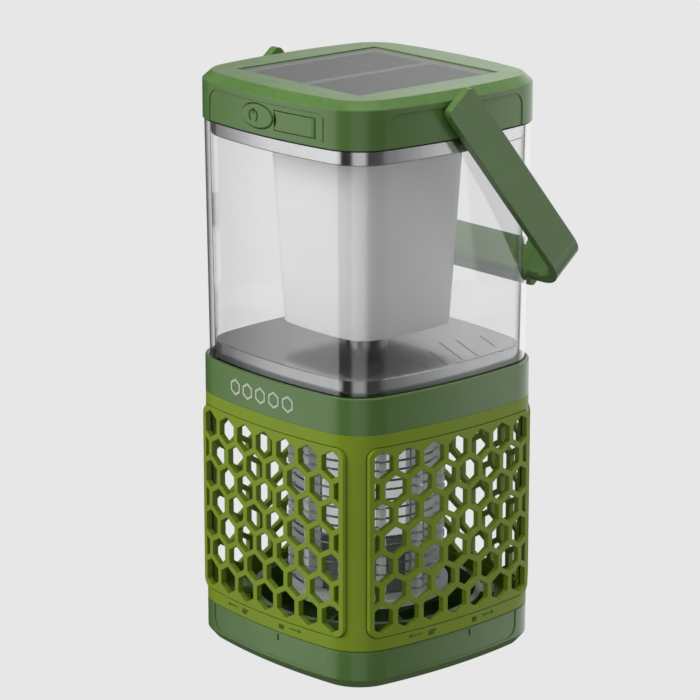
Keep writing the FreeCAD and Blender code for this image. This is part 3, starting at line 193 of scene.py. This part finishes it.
def bow(radius, wide, deep, start, end, steps=24, at=(0, 0, 0)):
    """A flat strip bent along an arc in the XZ plane; angles in degrees from +X towards +Z."""
    deselect_all()
    bpy.ops.mesh.primitive_plane_add(size=1)
    piece = bpy.context.active_object
    piece.scale = (wide, deep, 1)
    piece.location = (radius, 0, 0)
    settle(piece)
    activate(piece)
    bpy.ops.object.mode_set(mode="EDIT")
    bpy.ops.mesh.select_all(action="SELECT")
    first = math.radians(start)
    bpy.ops.transform.rotate(value=-first, orient_axis="Y", center_override=(0, 0, 0))
    turn = math.radians(end - start)
    bpy.ops.mesh.spin(steps=steps, angle=-turn, center=(0, 0, 0), axis=(0, 1, 0))
    bpy.ops.mesh.select_all(action="SELECT")
    bpy.ops.mesh.remove_doubles(threshold=0.000002)
    bpy.ops.mesh.normals_make_consistent(inside=False)
    bpy.ops.object.mode_set(mode="OBJECT")
    piece.location = at
    settle(piece)
    return piece


def settle(piece):
    """Put the piece's place, turn and scale into its mesh."""
    activate(piece)
    bpy.ops.object.transform_apply(location=True, rotation=True, scale=True)
    return piece


def join(pieces):
    """Join the pieces into the first of them."""
    deselect_all()
    for piece in pieces:
        piece.select_set(True)
    bpy.context.view_layer.objects.active = pieces[0]
    bpy.ops.object.join()
    return bpy.context.active_object


def placed(piece, matrix):
    """Move the piece and settle it there."""
    piece.matrix_world = matrix
    return settle(piece)


def finish_piece(piece, name, material, body):
    """Smooth, name and paint a piece, and give it its body and colour slot."""
    activate(piece)
    bpy.ops.object.shade_smooth_by_angle(angle=math.radians(SMOOTH_BELOW))
    piece.name = name
    piece.data.name = name
    piece.data.materials.clear()
    piece.data.materials.append(material)
    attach(piece, body)


def on_face(across, up, face=0, lift=0.0):
    """Where something sits on a curved face: +X to the face's right, -Y out of it."""
    turn = math.asin(across / FACE_ARC)
    centre = FACE_ARC - HALF_WIDTH
    out = FACE_ARC + lift
    place = Vector((out * math.sin(turn), centre - out * math.cos(turn), up))
    around = Matrix.Rotation(math.radians(face), 4, "Z")
    return around @ Matrix.Translation(place) @ Matrix.Rotation(turn, 4, "Z")


# ---- shader groups ----------------------------------------------------------------------------

def new_group(name, inputs, outputs):
    """An empty node group, with its inner ends to link from and to."""
    group = bpy.data.node_groups.new(name, "ShaderNodeTree")
    for socket, kind, value in inputs:
        made = group.interface.new_socket(socket, in_out="INPUT", socket_type=kind)
        if value is not None:
            made.default_value = value
    for socket, kind in outputs:
        group.interface.new_socket(socket, in_out="OUTPUT", socket_type=kind)
    entry = group.nodes.new("NodeGroupInput")
    leave = group.nodes.new("NodeGroupOutput")
    return group, entry.outputs, leave.inputs


def node(tree, kind, **settings):
    """Add a node; settings name its properties."""
    made = tree.nodes.new(kind)
    for name, value in settings.items():
        setattr(made, name, value)
    return made


def link(tree, source, target):
    tree.links.new(source, target)


def feed(tree, value, socket):
    """Link a socket's value, or set a plain one."""
    if isinstance(value, bpy.types.NodeSocket):
        link(tree, value, socket)
    else:
        socket.default_value = value


def math_node(tree, operation, first, second=None, clamp=False):
    made = node(tree, "ShaderNodeMath", operation=operation, use_clamp=clamp)
    feed(tree, first, made.inputs[0])
    if second is not None:
        feed(tree, second, made.inputs[1])
    return made.outputs[0]


def product(tree, first, second, clamp=False):
    """Multiply two values."""
    return math_node(tree, "MULTIPLY", first, second, clamp)


def noise(tree, vector, scale, detail=3.0, roughness=0.5):
    """Soft noise between 0 and 1."""
    made = node(tree, "ShaderNodeTexNoise")
    link(tree, vector, made.inputs["Vector"])
    feed(tree, scale, made.inputs["Scale"])
    made.inputs["Detail"].default_value = detail
    made.inputs["Roughness"].default_value = roughness
    return made.outputs["Fac"]


def stretch(tree, value, low, high, to_low=0.0, to_high=1.0):
    """Map a value from low..high to to_low..to_high, held at both ends."""
    made = node(tree, "ShaderNodeMapRange")
    link(tree, value, made.inputs["Value"])
    for name, number in (("From Min", low), ("From Max", high), ("To Min", to_low),
                         ("To Max", to_high)):
        made.inputs[name].default_value = number
    return made.outputs["Result"]


def blend_colours(tree, factor, first, second):
    """Blend from the first colour to the second."""
    made = node(tree, "ShaderNodeMix", data_type="RGBA")
    link(tree, factor, made.inputs["Factor"])
    for name, value in (("A_Color", first), ("B_Color", second)):
        feed(tree, value, next(s for s in made.inputs if s.identifier == name))
    return next(s for s in made.outputs if s.identifier == "Result_Color")


def moulded_grain_group():
    """Fine spark-eroded texture of a moulded surface, with slow drifts of tone."""
    group, given, out = new_group(
        "Moulded grain",
        [("Vector", "NodeSocketVector", None), ("Grain Scale", "NodeSocketFloat", 2500.0)],
        [("Tone", "NodeSocketFloat"), ("Height", "NodeSocketFloat"),
         ("Gloss", "NodeSocketFloat")])
    fine = noise(group, given["Vector"], given["Grain Scale"], detail=2.0, roughness=0.6)
    slow = noise(group, given["Vector"], scale=22.0, detail=3.0, roughness=0.55)
    patch = noise(group, given["Vector"], scale=90.0, detail=4.0, roughness=0.6)
    link(group, stretch(group, slow, 0.3, 0.7), out["Tone"])
    link(group, fine, out["Height"])
    mixed = math_node(group, "ADD", product(group, patch, 0.7), product(group, fine, 0.3))
    link(group, stretch(group, mixed, 0.35, 0.65), out["Gloss"])
    return group


def edge_rub_group():
    """Mask of the worn outer edges, broken up by noise."""
    group, given, out = new_group(
        "Edge rub",
        [("Vector", "NodeSocketVector", None), ("Width", "NodeSocketFloat", 0.0006)],
        [("Mask", "NodeSocketFloat"), ("Normal", "NodeSocketVector")])
    soft = node(group, "ShaderNodeBevel", samples=4)
    link(group, given["Width"], soft.inputs["Radius"])
    place = node(group, "ShaderNodeNewGeometry")
    turn = node(group, "ShaderNodeVectorMath", operation="DOT_PRODUCT")
    link(group, soft.outputs["Normal"], turn.inputs[0])
    link(group, place.outputs["Normal"], turn.inputs[1])
    edge = stretch(group, turn.outputs["Value"], 0.998, 0.9)
    spots = noise(group, given["Vector"], scale=160.0, detail=4.0, roughness=0.65)
    broken = stretch(group, spots, 0.35, 0.7)
    link(group, product(group, edge, broken, clamp=True), out["Mask"])
    link(group, soft.outputs["Normal"], out["Normal"])
    return group


def settled_dust_group():
    """Mask of the faint dust that settles on upward faces."""
    group, given, out = new_group(
        "Settled dust",
        [("Vector", "NodeSocketVector", None), ("Amount", "NodeSocketFloat", 0.1)],
        [("Mask", "NodeSocketFloat")])
    place = node(group, "ShaderNodeNewGeometry")
    split = node(group, "ShaderNodeSeparateXYZ")
    link(group, place.outputs["Normal"], split.inputs[0])
    upward = stretch(group, split.outputs["Z"], 0.3, 1.0)
    specks = noise(group, given["Vector"], scale=300.0, detail=5.0, roughness=0.7)
    clumps = stretch(group, specks, 0.4, 0.75)
    mask = product(group, product(group, upward, clumps), given["Amount"], clamp=True)
    link(group, mask, out["Mask"])
    return group


GRAIN = moulded_grain_group()
EDGE_RUB = edge_rub_group()
DUST = settled_dust_group()


def place_group(tree, group, vector, **values):
    """Place a node group in a material; values name its inputs, in small letters."""
    made = node(tree, "ShaderNodeGroup", node_tree=group)
    link(tree, vector, made.inputs["Vector"])
    for name, value in values.items():
        made.inputs[name.replace("_", " ").title()].default_value = value
    return made.outputs


# ---- materials --------------------------------------------------------------------------------

def new_material(name):
    """A material with its tree, its shader and its Object coordinates."""
    material = bpy.data.materials.new(name)
    material.use_nodes = True
    tree = material.node_tree
    shader = tree.nodes["Principled BSDF"]
    where = node(tree, "ShaderNodeTexCoord").outputs["Object"]
    return material, tree, shader, where


def bump(tree, height, strength, distance, normal=None):
    """Turn a height into a normal."""
    made = node(tree, "ShaderNodeBump")
    made.inputs["Strength"].default_value = strength
    made.inputs["Distance"].default_value = distance
    link(tree, height, made.inputs["Height"])
    if normal is not None:
        link(tree, normal, made.inputs["Normal"])
    return made.outputs["Normal"]


def plastic(name, dark, light, rubbed, rough=(0.42, 0.52), grain=0.00002, edge=0.0005,
            dust=0.08, specular=0.45, gloss=0.0):
    """A moulded plastic: two close tones, rubbed edges, fine grain and a little dust."""
    material, tree, shader, where = new_material(name)
    grained = place_group(tree, GRAIN, where)
    rub = place_group(tree, EDGE_RUB, where, width=edge)
    dusty = place_group(tree, DUST, where, amount=dust)
    body = blend_colours(tree, grained["Tone"], dark, light)
    worn = blend_colours(tree, product(tree, rub["Mask"], 0.35), body, rubbed)
    top = blend_colours(tree, dusty["Mask"], worn, paint(*DUST_TONE))
    link(tree, top, shader.inputs["Base Color"])
    link(tree, stretch(tree, grained["Gloss"], 0.0, 1.0, *rough), shader.inputs["Roughness"])
    link(tree, bump(tree, grained["Height"], 0.35, grain, rub["Normal"]),
         shader.inputs["Normal"])
    shader.inputs["Specular IOR Level"].default_value = specular
    shader.inputs["Coat Weight"].default_value = gloss
    shader.inputs["Coat Roughness"].default_value = COAT_ROUGHNESS
    return material


def metallised(name, tone, rough, streak=0.06):
    """Vacuum-metallised plastic: bright, with soft upright streaks."""
    material, tree, shader, where = new_material(name)
    drawn = node(tree, "ShaderNodeMapping")
    drawn.inputs["Scale"].default_value = (1.0, 1.0, 0.03)
    link(tree, where, drawn.inputs["Vector"])
    streaks = noise(tree, drawn.outputs[0], scale=380.0, detail=4.0, roughness=0.6)
    body = blend_colours(tree, stretch(tree, streaks, 0.3, 0.7),
                         paint(*(level - 8 for level in tone)), paint(*tone))
    link(tree, body, shader.inputs["Base Color"])
    link(tree, stretch(tree, streaks, 0.3, 0.7, rough, rough + streak),
         shader.inputs["Roughness"])
    ripples = noise(tree, where, scale=45.0, detail=2.0)
    link(tree, bump(tree, ripples, 0.12, 0.0004), shader.inputs["Normal"])
    shader.inputs["Metallic"].default_value = 1.0
    return material


def clear_plastic(name, tint, low, high, rough, sheen=0.0):
    """See-through plastic: its near skin shows a faint sheen, most at its grazing edges."""
    material, tree, shader, where = new_material(name)
    graze = node(tree, "ShaderNodeLayerWeight")
    graze.inputs["Blend"].default_value = 0.25
    marks = noise(tree, where, scale=60.0, detail=4.0, roughness=0.6)
    cloudy = stretch(tree, marks, 0.45, 0.8, 0.0, 0.01)
    seen = stretch(tree, graze.outputs["Facing"], 0.3, 0.52, low, high)
    inner_skin = node(tree, "ShaderNodeNewGeometry").outputs["Backfacing"]
    near_skin = math_node(tree, "SUBTRACT", 1.0, inner_skin)
    cover = math_node(tree, "ADD", seen, cloudy, clamp=True)
    link(tree, product(tree, cover, near_skin), shader.inputs["Alpha"])
    link(tree, stretch(tree, marks, 0.3, 0.8, rough, rough + 0.05), shader.inputs["Roughness"])
    shader.inputs["Base Color"].default_value = tint
    shader.inputs["Specular IOR Level"].default_value = 0.8
    shader.inputs["Metallic"].default_value = sheen
    return material


def frosted(name, dark, light, rough=0.45, glow=0.25, lamp_and_painted_glow=0.0):
    """Milky plastic that lets light soak through; its emission is a lamp's glow on a lamp cover
    and a painted glow on any other part.
    """
    material, tree, shader, where = new_material(name)
    grained = place_group(tree, GRAIN, where, grain_scale=1800.0)
    link(tree, blend_colours(tree, grained["Tone"], dark, light), shader.inputs["Base Color"])
    link(tree, stretch(tree, grained["Gloss"], 0.0, 1.0, rough, rough + 0.1),
         shader.inputs["Roughness"])
    link(tree, bump(tree, grained["Height"], 0.2, 0.00001), shader.inputs["Normal"])
    shader.inputs["Subsurface Weight"].default_value = glow
    shader.inputs["Subsurface Radius"].default_value = (0.006, 0.006, 0.006)
    shader.inputs["Subsurface Scale"].default_value = 0.5
    shader.inputs["Emission Color"].default_value = light
    shader.inputs["Emission Strength"].default_value = lamp_and_painted_glow
    return material


def steel(name, tone, rough=0.28):
    """Bare metal with fine scratches."""
    material, tree, shader, where = new_material(name)
    scratches = noise(tree, where, scale=900.0, detail=3.0, roughness=0.7)
    body = blend_colours(tree, scratches, paint(*(level - 40 for level in tone)), paint(*tone))
    link(tree, body, shader.inputs["Base Color"])
    link(tree, stretch(tree, scratches, 0.3, 0.7, rough, rough + 0.15),
         shader.inputs["Roughness"])
    shader.inputs["Metallic"].default_value = 1.0
    return material


def solar_cell_material():
    """Grey cell sheet with two blocks of fine silver fingers inside a plain border."""
    material, tree, shader, where = new_material("solar cell")
    split = node(tree, "ShaderNodeSeparateXYZ")
    link(tree, where, split.inputs[0])
    across = math_node(tree, "ABSOLUTE", split.outputs["X"])
    along = math_node(tree, "ABSOLUTE", split.outputs["Y"])
    beside_strip = product(tree, math_node(tree, "GREATER_THAN", across, STRIP_HALF),
                           math_node(tree, "LESS_THAN", across, BLOCK_HALF))
    inside = product(tree, beside_strip, math_node(tree, "LESS_THAN", along, BLOCK_HALF))
    pitch = math_node(tree, "PINGPONG", split.outputs["Y"], FINGER_PITCH / 2)
    finger = product(tree, math_node(tree, "LESS_THAN", pitch, FINGER_HALF), inside)
    flakes = node(tree, "ShaderNodeTexVoronoi")
    flakes.inputs["Scale"].default_value = 240.0
    link(tree, where, flakes.inputs["Vector"])
    crystal = stretch(tree, flakes.outputs["Distance"], 0.0, 0.8)
    cell = blend_colours(tree, crystal, paint(96, 95, 97), paint(108, 107, 109))
    body = blend_colours(tree, finger, cell, paint(186, 184, 186))
    link(tree, body, shader.inputs["Base Color"])
    link(tree, stretch(tree, crystal, 0.0, 1.0, 0.3, 0.45), shader.inputs["Roughness"])
    return material


DARK_GREEN = plastic("dark green moulding", paint(73, 108, 46), paint(80, 116, 52),
                     paint(110, 148, 86), rough=(0.3, 0.38), specular=0.6, gloss=0.6)
PRESSED_GREEN = plastic("dark green symbol", paint(34, 58, 28), paint(38, 64, 32),
                        paint(90, 118, 80), edge=0.0001)
LIME = plastic("lime moulding", paint(115, 138, 14), paint(122, 146, 19), paint(156, 178, 56),
               edge=0.0004, rough=(0.36, 0.44))
# the raised lock marks are coloured darker than the lime moulding they stand on
DARKER_LIME = plastic("lime marks", paint(70, 86, 10), paint(78, 94, 14), paint(110, 128, 40),
                       edge=0.0001)
PALE_PRINT = plastic("pale print", paint(176, 186, 168), paint(190, 198, 182),
                     paint(200, 206, 196), edge=0.00005, grain=0.000005)
SILVER = metallised("silver reflector", (226, 226, 228), 0.1)
# a darker copy of the reflector silver for the plate and the wire column: painted shade that
# stands in for the dark reflections on them
SILVER_PAINTED_DARKER = metallised("silver plate", (178, 178, 180), 0.14)
WINDOW = clear_plastic("clear window", paint(244, 246, 246), 0.17, 0.92, 0.05, sheen=1.0)
RESIN = clear_plastic("panel resin", paint(150, 150, 150), 0.10, 0.45, 0.08)
WHITE = frosted("diffuser white", paint(240, 240, 240), paint(248, 248, 248))
LAMP_WHITE = frosted("lamp cover white", paint(226, 228, 230), paint(240, 242, 244),
                     lamp_and_painted_glow=0.28)
# the cage is no lamp: its emission is a painted glow
CAGE = frosted("cage plastic", paint(200, 203, 203), paint(214, 217, 217), glow=0.1,
               lamp_and_painted_glow=0.07)
MODULE = plastic("zapper module grey", paint(128, 132, 132), paint(140, 144, 144),
                 paint(160, 164, 164))
INNER = plastic("inner plate grey", paint(96, 100, 96), paint(108, 112, 108),
                paint(140, 144, 140))
RUBBER = plastic("seal rubber", paint(30, 30, 30), paint(40, 40, 40), paint(60, 60, 60),
                 rough=(0.7, 0.85), specular=0.25)
BLACK = plastic("black part", paint(28, 28, 30), paint(38, 38, 40), paint(70, 70, 72))
BOARD = plastic("board green", paint(16, 68, 40), paint(24, 82, 50), paint(60, 110, 80),
                rough=(0.25, 0.35))
PANEL_BOARD = plastic("panel board", paint(104, 102, 102), paint(112, 110, 110),
                      paint(130, 130, 130), rough=(0.4, 0.5))
CHIP = frosted("lamp chip", paint(236, 226, 150), paint(246, 238, 170), glow=0.4)
WIRE = steel("grid wire", (196, 196, 200), 0.2)
SCREW = steel("screw steel", (170, 170, 174))
FOIL = steel("battery foil", (190, 190, 196), 0.4)
CELL = solar_cell_material()

FINISHES = {
    DARK_GREEN: ("base_tray", "middle_ring", "top_cap", "carry_handle", "power_button",
                 "port_cover"),
    LIME: ("grille_frame", "grille_panel_front", "grille_panel_right", "grille_panel_back",
           "grille_panel_left"),
    SILVER: ("top_reflector",),
    SILVER_PAINTED_DARKER: ("reflector_plate", "wire_column"),
    WINDOW: ("clear_window",),
    RESIN: ("solar_cover",),
    WHITE: ("diffuser",),
    LAMP_WHITE: ("uv_lamp_cover",),
    CAGE: ("cage_body", "cage_top_disc"),
    MODULE: ("hv_case",),
    INNER: ("cap_floor",),
    RUBBER: ("lower_seal", "upper_seal"),
    BLACK: ("board_parts", "tact_switch"),
    BOARD: ("uv_lamp_board", "hv_board", "lamp_board", "control_board"),
    PANEL_BOARD: ("solar_backing",),
    CHIP: ("lamp_chips",),
    WIRE: ("grid_live", "grid_return"),
    SCREW: ("cage_screws", "ring_screws", "cap_screws", "pivot_screws", "pivot_washers",
            "usb_socket"),
    FOIL: ("battery_pack", "lamp_heat_plate"),
    CELL: ("solar_cells",),
}


def finish_frame():
    """Give every CAD piece its material."""
    for material, names in FINISHES.items():
        for name in names:
            piece = nodes[name]
            piece.data.materials.clear()
            piece.data.materials.append(material)


# ---- small details ----------------------------------------------------------------------------

def power_symbol():
    """Raised stand-by mark on the power button: an open ring and a dash."""
    low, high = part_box("power_button")
    ring = bow(SYMBOL_RING, SYMBOL_LINE, SYMBOL_DEEP, *SYMBOL_ARC, steps=40)
    dash = block(SYMBOL_LINE, SYMBOL_DEEP, SYMBOL_RING, at=(0, 0, SYMBOL_UP), edge=SYMBOL_SOFT)
    mark = join([ring, dash])
    centre = (low + high) / 2
    placed(mark, Matrix.Translation((centre.x - SYMBOL_ASIDE, low.y, centre.z)))
    finish_piece(mark, "power_symbol", PRESSED_GREEN, "power_button")


def padlock(is_open):
    """A small raised padlock; the open one's bow is lifted and turned aside."""
    case = block(*CASE_SIZE, at=(0, 0, -CASE_DROP), edge=CASE_SOFT)
    lift = OPEN_UP if is_open else HOOP_UP
    aside = OPEN_ASIDE if is_open else 0
    hoop = bow(HOOP_RADIUS, MARK_LINE, MARK_LINE, 0, 180, at=(aside, 0, lift))
    leg = block(MARK_LINE, MARK_LINE, LEG_LENGTH,
                at=(aside - HOOP_RADIUS, 0, lift - LEG_DROP), edge=MARK_SOFT)
    return join([case, hoop, leg])


def arrow(direction):
    """A raised arrow that points along +X or -X."""
    shaft = block(SHAFT_LENGTH, MARK_LINE, MARK_LINE, edge=MARK_SOFT)
    deselect_all()
    bpy.ops.mesh.primitive_cylinder_add(vertices=3, radius=HEAD_RADIUS, depth=MARK_LINE)
    head = bpy.context.active_object
    head.rotation_euler = (math.radians(90), 0, 0)
    settle(head)
    head.rotation_euler = (0, math.radians(90 * direction), 0)
    settle(head)
    head.location = (HEAD_AT * direction, 0, 0)
    settle(head)
    bevel_edges(head, MARK_SOFT)
    return join([shaft, head])


def lock_marks():
    """Open and closed pictograms with arrows on the lime border over the base."""
    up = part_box("grille_frame")[0].z + MARK_UP
    marks = [placed(padlock(is_open), on_face(across, up)) for across, is_open in LOCK_PLACES]
    marks += [placed(arrow(direction), on_face(across, up))
              for across, direction in ARROW_PLACES]
    master = join(marks)
    for side, angle in (("right", 90), ("back", 180), ("left", 270)):
        activate(master)
        bpy.ops.object.duplicate(linked=False)
        twin = bpy.context.active_object
        placed(twin, Matrix.Rotation(math.radians(angle), 4, "Z"))
        finish_piece(twin, f"lock_marks_{side}", DARKER_LIME, "housing")
    finish_piece(master, "lock_marks_front", DARKER_LIME, "housing")


def base_ticks():
    """A short raised tick on each face of the base, under the closed mark."""
    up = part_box("base_tray")[1].z - MARK_DROP
    ticks = []
    for angle in (0, 90, 180, 270):
        tick = block(*TICK_SIZE, edge=TICK_SOFT)
        ticks.append(placed(tick, on_face(TICK_ACROSS, up, angle, BASE_RECESS)))
    finish_piece(join(ticks), "base_ticks", PRESSED_GREEN, "base")


def hexagon_outline(across, up):
    """One flat hexagon outline, a rim inset from a six-sided disc."""
    deselect_all()
    bpy.ops.mesh.primitive_circle_add(vertices=6, radius=HEXAGON_RADIUS, fill_type="NGON",
                                      rotation=(math.radians(90), 0, 0))
    piece = settle(bpy.context.active_object)
    activate(piece)
    bpy.ops.object.mode_set(mode="EDIT")
    bpy.ops.mesh.select_all(action="SELECT")
    bpy.ops.mesh.inset(thickness=HEXAGON_RIM, depth=0)
    bpy.ops.mesh.delete(type="FACE")
    bpy.ops.mesh.select_all(action="SELECT")
    bpy.ops.mesh.extrude_region_move(TRANSFORM_OT_translate={"value": (0, -PRINT_DEEP, 0)})
    bpy.ops.mesh.select_all(action="SELECT")
    bpy.ops.mesh.normals_make_consistent(inside=False)
    bpy.ops.object.mode_set(mode="OBJECT")
    return placed(piece, on_face(across, up))


def ring_mark():
    """A row of plain hexagon outlines printed on the middle ring."""
    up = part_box("middle_ring")[1].z - MARK_DROP
    outlines = [hexagon_outline(HEXAGON_FIRST + HEXAGON_PITCH * i, up)
                for i in range(HEXAGON_COUNT)]
    finish_piece(join(outlines), "ring_mark", PALE_PRINT, "housing")


# ---- studio -----------------------------------------------------------------------------------

def make_floor():
    """A wide pale floor, lit from within; shiny parts reflect the light tent instead of it."""
    deselect_all()
    bpy.ops.mesh.primitive_circle_add(vertices=96, radius=FLOOR_RADIUS, fill_type="NGON",
                                      location=(0, 0, cad_box[0].z))
    floor = settle(bpy.context.active_object)
    floor.name = "floor"
    material, tree, shader, _ = new_material("studio floor")
    shader.inputs["Base Color"].default_value = grey(0)
    shader.inputs["Specular IOR Level"].default_value = 0.0
    shader.inputs["Emission Color"].default_value = paint(*BACKDROP)
    path = node(tree, "ShaderNodeLightPath")
    link(tree, stretch(tree, path.outputs["Is Camera Ray"], 0.0, 1.0, FLOOR_BOUNCE, 1.0),
         shader.inputs["Emission Strength"])
    clear = node(tree, "ShaderNodeBsdfTransparent")
    mix = node(tree, "ShaderNodeMixShader")
    link(tree, path.outputs["Is Glossy Ray"], mix.inputs["Fac"])
    link(tree, shader.outputs[0], mix.inputs[1])
    link(tree, clear.outputs[0], mix.inputs[2])
    link(tree, mix.outputs[0], tree.nodes["Material Output"].inputs["Surface"])
    floor.data.materials.append(material)


def light_tent(tree):
    """Bright and dark panels round the object, as its shiny parts see them."""
    direction = node(tree, "ShaderNodeTexCoord").outputs["Generated"]
    split = node(tree, "ShaderNodeSeparateXYZ")
    link(tree, direction, split.inputs[0])
    turn = math_node(tree, "ARCTAN2", split.outputs["Y"], split.outputs["X"])
    around = stretch(tree, turn, -math.pi, math.pi)
    ramp = node(tree, "ShaderNodeValToRGB")
    link(tree, around, ramp.inputs["Fac"])
    stops = ramp.color_ramp.elements
    while len(stops) > 1:
        stops.remove(stops[-1])
    for i, (angle, level) in enumerate(TENT):
        share = (angle + 180) / 360
        stop = stops[0] if i == 0 else stops.new(share)
        stop.position = share
        stop.color = grey(level)
    roof = stretch(tree, split.outputs["Z"], *ROOF_EDGE)
    walls = blend_colours(tree, roof, ramp.outputs["Color"], grey(ROOF))
    below = stretch(tree, split.outputs["Z"], *PIT_EDGE)
    return blend_colours(tree, below, walls, grey(PIT))


def make_lights():
    """The even sky, the light tent, the pale backdrop and the soft panels."""
    world = bpy.data.worlds.new("studio")
    bpy.context.scene.world = world
    world.use_nodes = True
    tree = world.node_tree
    backdrop = tree.nodes["Background"]
    path = node(tree, "ShaderNodeLightPath")
    glossy = blend_colours(tree, path.outputs["Is Glossy Ray"], grey(SOFT_SKY),
                           light_tent(tree))
    seen = blend_colours(tree, path.outputs["Is Camera Ray"], glossy, paint(*BACKDROP))
    link(tree, seen, backdrop.inputs["Color"])
    for name, place, width, power in PANELS:
        light = bpy.data.lights.new(name, "AREA")
        light.energy = power
        light.size = width
        lamp = bpy.data.objects.new(name, light)
        bpy.context.scene.collection.objects.link(lamp)
        lamp.location = place
        aim = Vector(PANEL_AIM) - Vector(place)
        lamp.rotation_euler = aim.to_track_quat("-Z", "Y").to_euler()
        lamp.visible_glossy = False


def make_camera():
    """Long lens, a little above the lantern, looking at its front right corner."""
    lens = bpy.data.cameras.new("camera")
    lens.lens = LENS
    lens.sensor_width = SENSOR
    lens.clip_start = CLIP_START
    camera = bpy.data.objects.new("camera", lens)
    bpy.context.scene.collection.objects.link(camera)
    camera.location = CAMERA_PLACE
    aim = Vector(CAMERA_AIM) - camera.location
    camera.rotation_euler = aim.to_track_quat("-Z", "Y").to_euler()
    bpy.context.scene.camera = camera
    bpy.context.scene.view_settings.view_transform = "Standard"


make_camera()
make_floor()
make_lights()
finish_frame()
power_symbol()
lock_marks()
base_ticks()
ring_mark()
